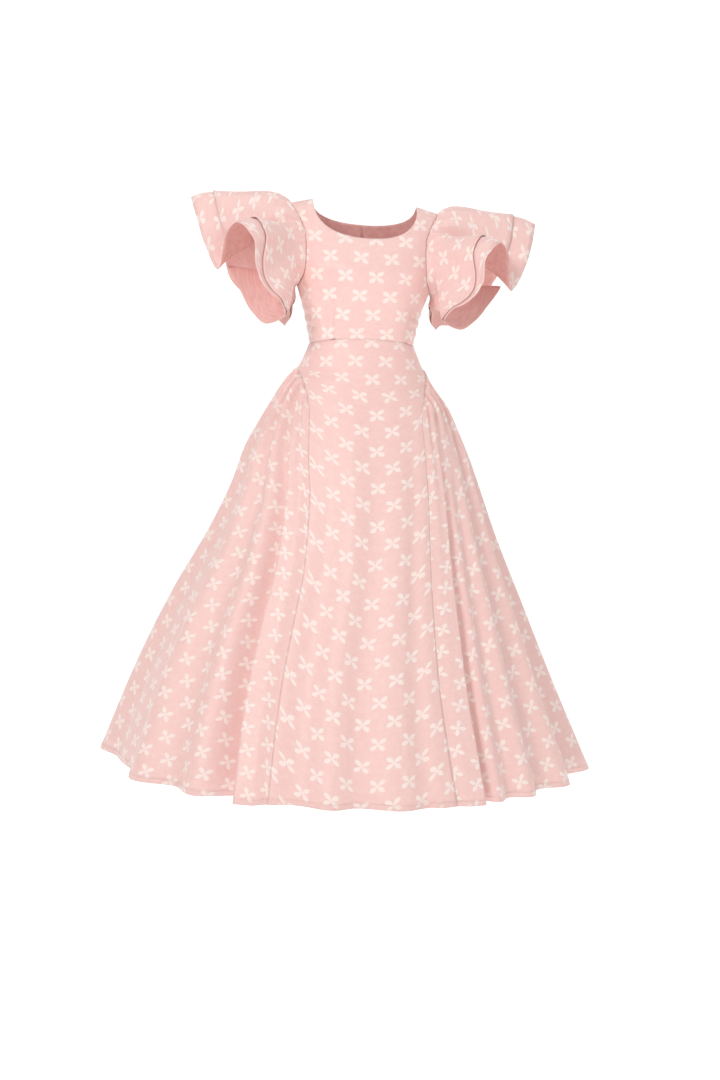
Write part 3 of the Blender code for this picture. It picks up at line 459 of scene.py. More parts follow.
def torso(angle, z):
    """A point of the bodice by angle round the body, from the centre front, and level."""
    sine = math.sin(math.radians(angle))
    cosine = math.cos(math.radians(angle))
    x = half_width(z) * power(sine, BODICE_ROUND)
    under = shoulder_ridge(x) - z
    depth = front_depth(under) if cosine >= 0 else back_depth(under)
    return Vector((x + body_centre(z), -depth * power(cosine, BODICE_ROUND), z))


def outward_of(surface, angle, z):
    """The direction out of a surface that runs by angle and level, at one place."""
    along = posed(surface(angle + 0.5, z)) - posed(surface(angle - 0.5, z))
    down = posed(surface(angle, z - 0.002)) - posed(surface(angle, z + 0.002))
    return down.cross(along).normalized()


def waist_level(angle):
    return WAIST + WAIST_RISE * max(math.cos(math.radians(angle)), 0.0) ** 2


def angle_of(x, z):
    """The angle of the point of the front that lies at this x, up to 90 degrees."""
    return math.degrees(math.asin(power(min(max(x / half_width(z), -1.0), 1.0), 1 / BODICE_ROUND)))


SHELL = 0.0012
SEAM_HALF_GAP = 0.00004
SEAM_DIP = 0.0005
SIDE_COLUMNS = 20
STRAP_COLUMNS = 14
NECK_COLUMNS = 30
BODY_ROWS = 40
CHEST_ROWS = 18
STRAP_ROWS = 22

Dart = namedtuple("Dart", "x_low x_high bottom top")
DARTS = (
    Dart(-0.062, -0.066, -0.268, -0.116),
    Dart(0.080, 0.090, -0.262, -0.170),
)
DART_DEPTH = 0.0024
DART_WIDTH = 0.0020
DART_PINCH = 0.0016
CREASE_HEIGHT = 0.0014


def shell(name, points, flat, wrap=0, thickness=SHELL, seams=()):
    """A thin shell inwards from a grid of points, by row from the top and column by growing angle.

    flat holds each point's place on the cut cloth. Points listed as seams are drawn in, so the join shows
    as a shallow furrow.
    """
    mesh = bpy.data.meshes.new(name)
    order = {spot: i for i, spot in enumerate(points)}
    faces = []
    laid = []
    for r, c in points:
        following = (c + 1) % wrap if wrap else c + 1
        ring = ((r, c), (r + 1, c), (r + 1, following), (r, following))
        if all(spot in order for spot in ring):
            faces.append([order[spot] for spot in ring])
            laid += [flat[r, c], flat[r + 1, c], flat[r + 1, c + 1], flat[r, c + 1]]
    mesh.from_pydata(list(points.values()), [], faces)
    uv = mesh.uv_layers.new(name="cut")
    for loop, place in zip(uv.data, laid):
        loop.uv = place
    mesh.update()
    dips = {order[spot] for spot in seams}
    moved = [v.co - v.normal * SEAM_DIP if v.index in dips else v.co.copy() for v in mesh.vertices]
    for vertex, place in zip(mesh.vertices, moved):
        vertex.co = place
    mesh.shade_smooth()
    mesh.materials.append(cloth_finish["jacquard_face"])
    # The inner face takes the reverse, whose darker, redder colour is painted shade
    mesh.materials.append(cloth_finish["jacquard_reverse_painted_shade"])
    piece = bpy.data.objects.new(name, mesh)
    bpy.context.collection.objects.link(piece)
    thick = piece.modifiers.new("thickness", "SOLIDIFY")
    thick.thickness = thickness
    thick.offset = -1.0
    thick.material_offset = 1
    return piece


def declared(piece, node, width, length, area, held, pieces=()):
    """A sheet stands for its solid, which is hidden, and rides on the dress."""
    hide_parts(node)
    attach(piece, "dress")


def drawn_in(points, spot, neighbour, distance=SEAM_HALF_GAP):
    """A seam's point moved towards its neighbour, to leave the gap of the join."""
    points[spot] = points[spot] + (points[neighbour] - points[spot]).normalized() * distance


def armhole_edge(share, back):
    z = armhole_level(share)
    angle = angle_of(armhole_back(share) if back else armhole_front(share), z)
    return (180.0 - angle if back else angle), z


def neckline(theta, back):
    drop = BACK_NECK_DROP if back else FRONT_NECK_DROP
    x = NECK_HALF_WIDTH * power(math.sin(math.radians(theta)), NECK_ROUND)
    z = NECK_CORNER - drop * power(math.cos(math.radians(theta)), NECK_ROUND)
    angle = angle_of(x, z)
    return (180.0 - angle if back else angle), z


def shoulder(back):
    def edge(t):
        x = between(NECK_HALF_WIDTH, SHOULDER_TIP_X, t)
        z = between(NECK_CORNER, SHOULDER_TIP, t)
        return (180.0 - angle_of(x, z) if back else angle_of(x, z)), z

    return edge


def line(start, end):
    return lambda t: (between(start[0], end[0], t), between(start[1], end[1], t))


def patch(bottom, top, first, last, columns, rows):
    """Angles and levels by row from the top and column, between four edges that run from 0 to 1."""
    found = {}
    for r in range(rows + 1):
        for c in range(columns + 1):
            u, v = c / columns, 1 - r / rows
            place = []
            for i in range(2):
                edges = between(bottom(u)[i], top(u)[i], v) + between(first(v)[i], last(v)[i], u)
                corners = between(between(bottom(0)[i], bottom(1)[i], u), between(top(0)[i], top(1)[i], u), v)
                place.append(edges - corners)
            found[r, c] = tuple(place)
    return found


def half_bodice(back):
    """Angles and levels of a left half panel, columns from the centre out, laid as five patches."""
    centre = 180.0 if back else 0.0
    split = BACK_NECK_SPLIT if back else FRONT_NECK_SPLIT
    chest = NECK_COLUMNS + STRAP_COLUMNS
    corner = armhole_edge(CHEST_SHARE, back)
    strap_corner = armhole_edge(STRAP_SHARE, back)
    neck_corner = neckline(split, back)
    middle = (centre, CHEST_LEVEL)
    chest_angle = between(centre, 90.0, 8 / 12)
    chest_line = line(middle, corner)
    turning = chest_line(5 / 8)
    neck_line = line(turning, neck_corner)
    below = line((chest_angle, waist_level(chest_angle)), corner)
    strap_base = line(neck_corner, strap_corner)
    found = {}

    def warped(u):
        if u < NECK_COLUMNS / chest:
            return u * (5 / 8) / (NECK_COLUMNS / chest)
        return 1 - (1 - u) * (3 / 8) / (STRAP_COLUMNS / chest)

    def waist(start, end):
        return lambda t: (between(start, end, t), waist_level(between(start, end, t)))

    pieces = (
        (lambda u: waist(centre, chest_angle)(warped(u)), lambda u: chest_line(warped(u)),
         line((centre, waist_level(centre)), middle), below, chest, BODY_ROWS, STRAP_ROWS + CHEST_ROWS, 0),
        (waist(chest_angle, 90.0), lambda t: armhole_edge(CHEST_SHARE * (1 - t), back),
         below, line((90.0, WAIST), (90.0, UNDERARM)),
         SIDE_COLUMNS, BODY_ROWS, STRAP_ROWS + CHEST_ROWS, chest),
        (line(middle, turning), lambda t: neckline(split * t, back),
         line(middle, neckline(0.0, back)), neck_line, NECK_COLUMNS, CHEST_ROWS, STRAP_ROWS, 0),
        (line(turning, corner), strap_base, neck_line,
         lambda t: armhole_edge(between(CHEST_SHARE, STRAP_SHARE, t), back),
         STRAP_COLUMNS, CHEST_ROWS, STRAP_ROWS, NECK_COLUMNS),
        (strap_base, shoulder(back), lambda t: neckline(between(split, 90.0, t), back),
         lambda t: armhole_edge(between(STRAP_SHARE, 1.0, t), back),
         STRAP_COLUMNS, STRAP_ROWS, 0, NECK_COLUMNS),
    )
    for bottom, top, first, last, columns, rows, row, column in pieces:
        for (r, c), place in patch(bottom, top, first, last, columns, rows).items():
            found[r + row, c + column] = place
    return found


def bodice_relief(angle, z):
    """The darts and the soft creases at the waist, as a height out of the plain form."""
    lift = 0.0
    x = torso(angle, z).x
    if abs(angle) < 90:
        for dart in DARTS:
            run = (z - dart.bottom) / (dart.top - dart.bottom)
            if -0.1 < run < 1.0:
                off = x - between(dart.x_low, dart.x_high, run)
                fade = 1 - eased((run - 0.6) / 0.4)
                lift -= (DART_DEPTH * hump(off, DART_WIDTH) + DART_PINCH * hump(off, 4 * DART_WIDTH)) * fade
    beside = hump(abs(angle) - 78.0, 26.0) + 0.5 * hump(abs(angle) - 150.0, 20.0)
    low = hump(z + 0.236, 0.030)
    lift += CREASE_HEIGHT * beside * low * math.sin(z * 310.0 + angle * 0.045 + 1.1)
    lift += 0.0007 * hump(z + 0.19, 0.04) * math.sin(angle * 0.11 + z * 40.0)
    return lift


def bodice_panel(name, places, back, cut):
    side_column = max(abs(c) for r, c in places)
    last = BODY_ROWS + CHEST_ROWS + STRAP_ROWS
    points = {}
    flat = {}
    seams = []
    for (r, c), (angle, z) in places.items():
        point = posed(torso(angle, z))
        points[r, c] = point + outward_of(torso, angle, z) * bodice_relief(angle, z) if r else point
        centre = 180.0 if back else 0.0
        side = math.copysign(1.0, angle)
        run = [torso(between(side * centre, angle, k / 12), z) for k in range(13)]
        length = sum((a - b).length for a, b in zip(run, run[1:]))
        flat[r, c] = (side * length * (-1.0 if back else 1.0), z * 1.04)
    for r, c in places:
        if r == last:
            drawn_in(points, (r, c), (r - 1, c))
            seams.append((r, c))
        elif r == 0:
            drawn_in(points, (r, c), (r + 1, c))
            seams.append((r, c))
        if abs(c) == side_column:
            drawn_in(points, (r, c), (r, c - 1 if c > 0 else c + 1))
            seams.append((r, c))
        if back and c == 0:
            drawn_in(points, (r, c), (r, 1 if (r, 1) in places else -1))
            seams.append((r, c))
    piece = shell(name, points, flat, seams=seams)
    declared(piece, name, *cut, held="stretched")
    return piece


front_places = {}
for (r, c), (angle, z) in half_bodice(back=False).items():
    front_places[r, c] = (angle, z)
    front_places[r, -c] = (-angle, z)
bodice_panel("bodice_front", front_places, False, (0.330, 0.290, 0.0704))
half_back = half_bodice(back=True)
for name, side in (("bodice_back_right", -1), ("bodice_back_left", 1)):
    back_places = {(r, -side * c): (side * angle, z) for (r, c), (angle, z) in half_back.items()}
    bodice_panel(name, back_places, True, (0.165, 0.290, 0.0375))


# Skirt: a front and two backs that spread over the hips, and two wide sides gathered onto the curved hip
# seams, all of the same jacquard. They are seamed together, sewn to the bodice at the waist and hemmed. Every
# fold has its own place along the hem and its own distance out.

HIP_SEAM_TOP = -0.317
GATHER_END = -0.388
HEM = -1.083
OVAL_FROM = -0.400
FINE = 4
HIP_ROWS = 9
HIP_SEAM_ROWS = 24
SKIRT_ROWS = 40
SKIRT_ROW_SPREAD = 1.4
FOLD_GROWTH = 0.6
GATHER_HEIGHT = 0.0062
GATHER_GAP = 0.0001
GATHER_CREST = 0.020
GATHER_LENGTH = 0.150
FINE_GATHER = 0.0026
FINE_GATHERS = 31
FINE_GATHER_RISE = 0.006
FINE_GATHER_LENGTH = 0.030
COLUMNS_A_GATHER = 4

Section = namedtuple("Section", "z right left front back")
SKIRT = (
    Section(-0.274, 0.1065, 0.0945, 0.087, 0.079),
    Section(-0.317, 0.126, 0.1115, 0.101, 0.094),
    Section(-0.349, 0.152, 0.126, 0.115, 0.110),
    Section(-0.394, 0.182, 0.158, 0.138, 0.134),
    Section(-0.475, 0.227, 0.193, 0.182, 0.176),
    Section(-0.546, 0.251, 0.216, 0.219, 0.212),
    Section(-0.635, 0.292, 0.244, 0.260, 0.250),
    Section(-0.763, 0.364, 0.293, 0.317, 0.303),
    Section(-0.909, 0.434, 0.350, 0.378, 0.358),
    Section(-1.083, 0.505, 0.424, 0.445, 0.420),
)

Seam = namedtuple("Seam", "z right left back")
SEAMS = (
    Seam(-0.317, 90.0, 90.0, 90.0),
    Seam(-0.335, 58.0, 76.0, 118.0),
    Seam(-0.362, 41.0, 60.0, 136.0),
    Seam(-0.388, 34.0, 46.5, 145.0),
    Seam(-0.450, 26.5, 40.0, 149.0),
    Seam(-0.600, 19.0, 34.0, 153.0),
    Seam(-0.720, 16.0, 30.5, 156.0),
    Seam(-0.900, 16.4, 27.6, 159.0),
    Seam(-1.083, 16.5, 26.4, 160.0),
)

Fold = namedtuple("Fold", "name share out columns")
FRONT_FOLDS = (
    Fold("right seam", 0.000, 0.000, 4),
    Fold("right trough", 0.140, -0.011, 5),
    Fold("middle ridge", 0.338, 0.011, 4),
    Fold("middle trough", 0.466, -0.009, 5),
    Fold("left ridge", 0.700, 0.013, 3),
    Fold("left trough", 0.840, -0.003, 2),
    Fold("left edge ridge", 0.910, 0.004, 1),
    Fold("left seam", 1.000, 0.000, 0),
)
BACK_FOLDS = (
    Fold("hip seam", 0.000, 0.000, 3),
    Fold("trough", 0.330, -0.011, 4),
    Fold("ridge", 0.700, 0.011, 3),
    Fold("centre back seam", 1.000, 0.000, 0),
)
RIGHT_FOLDS = (
    Fold("front seam", 0.000, 0.000, 2),
    Fold("front strip", 0.022, 0.018, 2),
    Fold("front fold edge", 0.049, 0.022, 1),
    Fold("front deep trough", 0.055, -0.038, 3),
    Fold("ridge 1", 0.129, 0.012, 3),
    Fold("trough 1", 0.185, -0.016, 3),
    Fold("ridge 2", 0.261, 0.018, 3),
    Fold("trough 2", 0.338, -0.018, 3),
    Fold("side trough", 0.425, -0.016, 3),
    Fold("side ridge", 0.505, 0.018, 3),
    Fold("trough 3", 0.585, -0.018, 3),
    Fold("ridge 3", 0.668, 0.020, 3),
    Fold("ridge 4", 0.749, 0.018, 3),
    Fold("trough 4", 0.819, -0.018, 3),
    Fold("ridge 5", 0.885, 0.012, 3),
    Fold("back deep trough", 0.945, -0.034, 1),
    Fold("back fold edge", 0.951, 0.020, 2),
    Fold("back strip", 0.977, 0.016, 2),
    Fold("back seam", 1.000, 0.000, 0),
)
LEFT_FOLDS = (
    Fold("front seam", 0.000, 0.000, 2),
    Fold("front strip", 0.023, 0.010, 2),
    Fold("front fold edge", 0.049, 0.012, 1),
    Fold("front deep trough", 0.055, -0.020, 2),
    Fold("ridge 1", 0.083, 0.006, 2),
    Fold("trough 1", 0.115, -0.010, 2),
    Fold("ridge 2", 0.154, 0.012, 3),
    Fold("trough 2", 0.203, -0.014, 3),
    Fold("ridge 3", 0.266, 0.016, 3),
    Fold("trough 3", 0.334, -0.018, 3),
    Fold("side ridge", 0.409, 0.020, 3),
    Fold("side trough", 0.491, -0.020, 3),
    Fold("ridge 4", 0.573, 0.018, 3),
    Fold("trough 4", 0.656, -0.020, 3),
    Fold("ridge 5", 0.738, 0.018, 3),
    Fold("trough 5", 0.810, -0.018, 3),
    Fold("ridge 6", 0.880, 0.012, 3),
    Fold("back deep trough", 0.943, -0.034, 1),
    Fold("back fold edge", 0.949, 0.020, 2),
    Fold("back strip", 0.976, 0.016, 2),
    Fold("back seam", 1.000, 0.000, 0),
)

right_width = curve(SKIRT, "z", "right")
left_width = curve(SKIRT, "z", "left")
skirt_front_depth = curve(SKIRT, "z", "front")
skirt_back_depth = curve(SKIRT, "z", "back")
HIP = [row for row in SEAMS if row.z >= GATHER_END]
seam_angle = {side: curve(SEAMS, "z", side) for side in ("right", "left", "back")}
hip_curve = {side: curve(HIP, side, "z") for side in ("right", "left", "back")}


def skirt_point(angle, z, out=0.0):
    half = (right_width(z) + left_width(z)) / 2
    centre = (left_width(z) - right_width(z)) / 2
    sine = math.sin(math.radians(angle))
    cosine = math.cos(math.radians(angle))
    depth = skirt_front_depth(z) if cosine >= 0 else skirt_back_depth(z)
    roundness = between(BODICE_ROUND, 1.0, eased((WAIST - z) / (WAIST - OVAL_FROM)))
    on_oval = Vector((half * power(sine, roundness) + centre, -depth * power(cosine, roundness), z))
    return on_oval + Vector((depth * sine, -half * cosine, 0.0)).normalized() * out


def hip_corners(side, angle):
    """A curved hip seam's corners on both sides of an angle, as angles and levels, and the way between."""
    end = seam_angle[side](GATHER_END)
    along = min(max((angle - 90.0) / (end - 90.0), 0.0), 1.0) * HIP_SEAM_ROWS
    number = min(int(along), HIP_SEAM_ROWS - 1)
    angles = [between(90.0, end, k / HIP_SEAM_ROWS) for k in (number, number + 1)]
    return [(corner, hip_curve[side](corner)) for corner in angles], along - number


def hip_level(side, angle):
    (first, second), way = hip_corners(side, angle)
    return between(first[1], second[1], way)


def hip_point(side, sign, angle):
    corners, way = hip_corners(side, angle)
    first, second = (skirt_point(sign * corner, z) for corner, z in corners)
    return first.lerp(second, way)


def columns_of(folds):
    """Each grid column's share along the panel's top, its share along the hem and its distance out there."""
    count = sum(fold.columns for fold in folds) * FINE
    found = []
    for fold, following in zip(folds, folds[1:]):
        for step in range(fold.columns * FINE):
            t = step / (fold.columns * FINE)
            out = between(fold.out, following.out, (1 - math.cos(math.pi * t)) / 2)
            found.append((len(found) / count, between(fold.share, following.share, t), out))
    found.append((1.0, 1.0, folds[-1].out))
    return found


def row_shares():
    return [(row / SKIRT_ROWS) ** SKIRT_ROW_SPREAD for row in range(SKIRT_ROWS + 1)]


def end_angle(edge, angle):
    side, sign = edge
    return sign * angle if side else sign


def hip_rows(first, last):
    """Both ends of each row of a panel that starts at the waist, each end as an angle and a level."""
    rows = []
    for step in range(HIP_ROWS):
        share = step / HIP_ROWS
        rows.append([(end_angle(edge, 90.0), between(WAIST, HIP_SEAM_TOP, share)) for edge in (first, last)])
    for step in range(HIP_SEAM_ROWS):
        row = []
        for edge in (first, last):
            side = edge[0] or (last[0] if edge is first else first[0])
            angle = between(90.0, seam_angle[side](GATHER_END), step / HIP_SEAM_ROWS)
            row.append((end_angle(edge, angle), hip_level(side, angle)))
        rows.append(row)
    for share in row_shares():
        z = between(GATHER_END, HEM, share)
        ends = [seam_angle[side](z) if side else 0.0 for side, sign in (first, last)]
        rows.append([(end_angle(edge, angle), z) for edge, angle in zip((first, last), ends)])
    return rows


def cut_places(points, rows, columns, way, middle):
    """Each point's place on the flat cloth: across from the middle column and down from the top, measured."""
    flat = {}
    for r in range(rows):
        run = 0.0
        for c in range(columns):
            if c:
                run += (points[r, way * c] - points[r, way * (c - 1)]).length
            flat[r, way * c] = (way * run, 0.0)
        centre = flat[r, way * middle][0]
        for c in range(columns):
            drop = 0.0 if r == 0 else (points[r, way * c] - points[r - 1, way * c]).length
            above = 0.0 if r == 0 else flat[r - 1, way * c][1]
            flat[r, way * c] = (flat[r, way * c][0] - centre, above - drop)
    return flat


def hem_line(points, row, columns, way, rise, lift=0.0004):
    """A line on the cloth's face this far above its lowest row, for the hem's stitches."""
    found = []
    for c in range(columns):
        low = points[row, way * c]
        up = points[row - 1, way * c] - low
        beside = points[row, way * min(c + 1, columns - 1)] - points[row, way * max(c - 1, 0)]
        out = beside.cross(up).normalized() * way
        found.append(low + up.normalized() * rise + out * lift)
    return found


stitch_lines = {}
HEM_STITCH_RISE = 0.0090
FLOUNCE_STITCH_RISE = 0.0055


def hung_panel(name, folds, first, last, cut):
    """A skirt panel that hangs from the waist seam, between two seams."""
    points = {}
    columns = columns_of(folds)
    way = 1 if last[1] > 0 else -1
    rows = hip_rows(first, last)
    for r, ((angle_a, z_a), (angle_b, z_b)) in enumerate(rows):
        fall = min(max((GATHER_END - (z_a + z_b) / 2) / (GATHER_END - HEM), 0.0), 1.0)
        for c, (top, hem, out) in enumerate(columns):
            share = between(top, hem, fall)
            angle = between(angle_a, angle_b, share)
            z = between(z_a, z_b, share)
            rise = (waist_level(angle) - WAIST) * max(1 - r / HIP_ROWS, 0.0)
            soft = 0.0010 * hump(z + 0.35, 0.05) * math.sin(angle * 0.12 + z * 22.0)
            point = skirt_point(angle, z + rise, out * fall**FOLD_GROWTH + soft)
            points[r, way * c] = posed(point if r else torso(angle, waist_level(angle)))
    flat = cut_places(points, len(rows), len(columns), way, len(columns) // 2)
    seams = [(0, way * c) for c in range(len(columns))]
    for c in range(len(columns)):
        drawn_in(points, (0, way * c), (1, way * c))
    for r in range(len(rows)):
        for c, beside in ((0, 1), (len(columns) - 1, len(columns) - 2)):
            drawn_in(points, (r, way * c), (r, way * beside))
    stitch_lines[name] = hem_line(points, len(rows) - 1, len(columns), way, HEM_STITCH_RISE)
    piece = shell(name, points, flat, seams=seams)
    declared(piece, name, *cut, held="hung")


def gather_wave(number, count):
    """The gathers' rise and fall from column to column, uneven, and still at the ends."""
    t = number / count
    ends = min(1.0, 8 * t, 8 * (1 - t))
    return math.sin(2 * math.pi * number / COLUMNS_A_GATHER) * ends * (1 + 0.25 * math.sin(9 * t + 1))


def gather_shape(below):
    """The gathers' share of their full height, at this distance below the seam."""
    crest = between(0.50, 1.0, min(below / GATHER_CREST, 1.0))
    return crest * math.exp(-max(below - GATHER_CREST, 0.0) / GATHER_LENGTH)


def fine_gather(t, below):
    """Small pleats between the main gathers, short and of uneven height."""
    ends = min(1.0, 10 * t, 10 * (1 - t))
    height = FINE_GATHER * (0.6 + 0.4 * math.sin(31 * t + 0.5))
    fade = min(below / FINE_GATHER_RISE, 1.0) * math.exp(-below / FINE_GATHER_LENGTH)
    return height * ends * math.sin(2 * math.pi * FINE_GATHERS * t + 0.9) * fade


def gathered_panel(name, folds, side, sign, cut):
    """A side panel of the skirt, gathered onto the front's and the back's curved hip seams."""
    front_end = seam_angle[side](GATHER_END)
    back_end = seam_angle["back"](GATHER_END)
    columns = columns_of(folds)
    count = len(columns)
    points = {}
    shares = row_shares()
    for r, share in enumerate(shares):
        for c, (top, hem, out) in enumerate(columns):
            top_angle = between(front_end, back_end, top)
            hip_side = side if top_angle < 90 else "back"
            level = hip_level(hip_side, top_angle)
            z = between(level, HEM, share)
            fall = min(max((GATHER_END - z) / (GATHER_END - HEM), 0.0), 1.0)
            angle = between(seam_angle[side](z), seam_angle["back"](z), between(top, hem, fall))
            if z > GATHER_END:
                angle = top_angle
            ripple = gather_wave(c / FINE, (count - 1) / FINE) * gather_shape(level - z) * GATHER_HEIGHT
            ripple += fine_gather(c / (count - 1), level - z)
            point = skirt_point(sign * angle, z, out * share**FOLD_GROWTH + ripple)
            if r == 0:
                point = hip_point(hip_side, sign, top_angle)
            points[r, sign * c] = posed(point)
    flat = cut_places(points, len(shares), count, sign, count // 2)
    seams = []
    for c in range(count):
        drawn_in(points, (0, sign * c), (1, sign * c), GATHER_GAP)
        seams.append((0, sign * c))
    for r in range(1, len(shares)):
        for c, beside in ((0, 1), (count - 1, count - 2)):
            drawn_in(points, (r, sign * c), (r, sign * beside))
    stitch_lines[name] = hem_line(points, len(shares) - 1, count, sign, HEM_STITCH_RISE)
    piece = shell(name, points, flat, seams=seams)
    declared(piece, name, *cut, held="gathered")


hung_panel("skirt_front", FRONT_FOLDS, ("right", -1), ("left", 1), (0.400, 0.920, 0.2475))
gathered_panel("skirt_side_right", RIGHT_FOLDS, "right", -1, (1.300, 0.860, 0.6379))
gathered_panel("skirt_side_left", LEFT_FOLDS, "left", 1, (1.200, 0.860, 0.5831))
hung_panel("skirt_back_left", BACK_FOLDS, ("back", 1), (None, 180.0), (0.200, 0.920, 0.1176))
hung_panel("skirt_back_right", BACK_FOLDS, ("back", -1), (None, -180.0), (0.200, 0.920, 0.1180))


# Sleeves: two flounces of the jacquard each, the under one longer, cut as wide rings, gathered together into
# the armhole and narrowly hemmed. Every place along the outer edge has its own row, from the underarm
# forwards and round the arm.

FLOUNCE_START = 0.30
FLOUNCE_TURN = 0.62
FLOUNCE_CLEAR = 0.0002
FLOUNCE_LIFT = 0.25
FLOUNCE_SHELL = 0.0009
LAYER_STEP = 0.0026
LAYER_SPREAD = 0.0010
OVERHANG_DROP = 0.9
FLOUNCE_FINE = 5
FLOUNCE_GRID_ROWS = 26
OVERHANG_ROWS = 5
SLEEVE_GATHER_HEIGHT = 0.0060
SLEEVE_FINE_GATHER = 0.0032
SLEEVE_FINE_GATHERS = 34
EDGE_WAVE = 0.0016
EDGE_WAVES = 17
GATHERED_HEAD = (0.26, 0.74)

Rim = namedtuple("Rim", "name seam x y z lift push reach columns")
FLOUNCE = (
    Rim("underarm", 0.000, 0.130, 0.000, -0.195, 0.000, 0.000, 1.08, 2),
    Rim("third wall, inner", 0.030, 0.144, -0.032, -0.205, 0.000, 0.000, 1.06, 1),
    Rim("third wall, middle", 0.055, 0.186, -0.028, -0.200, 0.000, 0.000, 1.06, 1),
    Rim("third wall, outer", 0.080, 0.234, -0.012, -0.166, 0.004, 0.004, 1.05, 1),
    Rim("outer turn", 0.098, 0.254, -0.042, -0.148, 0.006, 0.000, 1.05, 2),
    Rim("second wall, outer", 0.122, 0.230, -0.072, -0.184, 0.004, -0.010, 1.05, 1),
    Rim("second wall, middle", 0.142, 0.208, -0.084, -0.214, 0.002, -0.014, 1.06, 1),
    Rim("lower tip", 0.162, 0.178, -0.100, -0.234, 0.000, -0.016, 1.07, 2),
    Rim("inner turn", 0.188, 0.143, -0.130, -0.220, 0.004, -0.014, 1.03, 1),
    Rim("first wall, inner", 0.212, 0.155, -0.150, -0.199, 0.008, -0.016, 1.02, 1),
    Rim("first wall, lower", 0.236, 0.173, -0.160, -0.185, 0.010, -0.018, 1.04, 2),
    Rim("first wall, middle", 0.262, 0.193, -0.164, -0.154, 0.012, -0.016, 1.08, 1),
    Rim("first wall, upper", 0.283, 0.197, -0.162, -0.130, 0.014, -0.014, 1.14, 2),
    Rim("first wall, outer", 0.307, 0.190, -0.156, -0.090, 0.016, -0.010, 1.24, 1),
    Rim("arch, inner", 0.327, 0.198, -0.148, -0.068, 0.018, -0.006, 1.30, 1),
    Rim("arch, crown", 0.347, 0.215, -0.124, -0.054, 0.020, -0.004, 1.32, 1),
    Rim("arch, outer", 0.367, 0.232, -0.094, -0.066, 0.020, -0.002, 1.32, 2),
    Rim("front trough", 0.397, 0.246, -0.052, -0.118, 0.018, 0.000, 1.30, 2),
    Rim("front lobe, lower", 0.427, 0.274, -0.044, -0.067, 0.018, 0.000, 1.27, 2),
    Rim("front lobe, upper", 0.457, 0.283, -0.022, -0.033, 0.020, 0.000, 1.28, 2),
    Rim("crown corner", 0.500, 0.290, 0.010, -0.002, 0.022, 0.000, 1.30, 2),
    Rim("back lobe, upper", 0.530, 0.284, 0.048, -0.018, 0.020, 0.004, 1.28, 2),
    Rim("back lobe, lower", 0.570, 0.270, 0.086, -0.054, 0.018, 0.008, 1.26, 2),
    Rim("back trough 1", 0.610, 0.243, 0.084, -0.102, 0.014, 0.012, 1.24, 2),
    Rim("back ridge 2", 0.650, 0.238, 0.116, -0.132, 0.012, 0.014, 1.20, 2),
    Rim("back ridge 2, lower", 0.695, 0.214, 0.128, -0.166, 0.010, 0.014, 1.18, 2),
    Rim("back trough 2", 0.740, 0.184, 0.108, -0.184, 0.006, 0.012, 1.16, 2),
    Rim("back ridge 3", 0.785, 0.170, 0.128, -0.218, 0.004, 0.010, 1.12, 2),
    Rim("back trough 3", 0.840, 0.152, 0.098, -0.226, 0.002, 0.006, 1.10, 2),
    Rim("back tip", 0.895, 0.143, 0.068, -0.238, 0.000, 0.004, 1.08, 2),
    Rim("back of the underarm", 0.950, 0.134, 0.034, -0.214, 0.000, 0.000, 1.08, 2),
    Rim("underarm again", 1.000, 0.130, 0.000, -0.195, 0.000, 0.000, 1.08, 0),
)

rim_x, rim_y, rim_z, rim_lift, rim_push, rim_reach = (
    curve(FLOUNCE, "seam", field) for field in ("x", "y", "z", "lift", "push", "reach")
)


def flounce_point(seam, reach):
    """A point of the upper flounce's face on a left sleeve, 0 at the armhole and 1 at its edge.

    The cloth leaves the armhole like a tube round the arm, then turns towards its place on the edge.
    """
    angle, z = armhole_edge(2 * min(seam, 1 - seam), seam > 0.5)
    start = torso(angle, z) - Vector((body_centre(z), 0.0, 0.0))
    end = Vector((rim_x(seam), rim_y(seam), rim_z(seam)))
    middle = between(UNDERARM, SHOULDER_TIP, 0.5)
    away = Vector((0.0, start.y, start.z - middle)).normalized()
    under = eased((-away.z - 0.2) / 0.8)
    leave = Vector((0.85, 0.0, 0.0)) + away * between(0.45, 0.25, under)
    length = (end - start).length
    first = start + leave * length * FLOUNCE_START
    second = start.lerp(end, FLOUNCE_TURN) + Vector((0.0, rim_push(seam), rim_lift(seam))) * FLOUNCE_LIFT
    start = start + leave.normalized() * FLOUNCE_CLEAR
    if reach > 1.0:
        over = reach - 1.0
        heading = (end - second).normalized()
        return end + heading * length * over - Vector((0.0, 0.0, length * OVERHANG_DROP * over * over))
    rest = 1 - reach
    return rest**3 * start + 3 * rest**2 * reach * first + 3 * rest * reach**2 * second + reach**3 * end


def flounce_normal(seam, reach):
    step = 0.004
    along = flounce_point(min(seam + step, 1.0), reach) - flounce_point(max(seam - step, 0.0), reach)
    down = flounce_point(seam, reach + step) - flounce_point(seam, max(reach - step, 0.0))
    return down.cross(along).normalized()


def sleeve_relief(seam, reach, number):
    """The gathers at the sleeve head and the waves along the edge, as a height out of the plain flounce."""
    low, high = GATHERED_HEAD
    head = max(math.sin(math.pi * min(max((seam - low) / (high - low), 0.0), 1.0)), 0.0)
    fade = between(0.2, 1.0, min(reach / 0.2, 1.0)) * (1 - eased((reach - 0.2) / 0.5))
    wave = (1 + math.sin(2 * math.pi * number / COLUMNS_A_GATHER)) / 2
    lift = SLEEVE_GATHER_HEIGHT * head * fade * wave
    fine = math.sin(2 * math.pi * SLEEVE_FINE_GATHERS * seam + 0.4) * min(reach / 0.05, 1.0)
    lift += SLEEVE_FINE_GATHER * head * fine * math.exp(-reach / 0.30)
    lift += EDGE_WAVE * math.sin(2 * math.pi * EDGE_WAVES * seam + 2.6 * reach) * eased((reach - 0.35) / 0.6)
    return lift


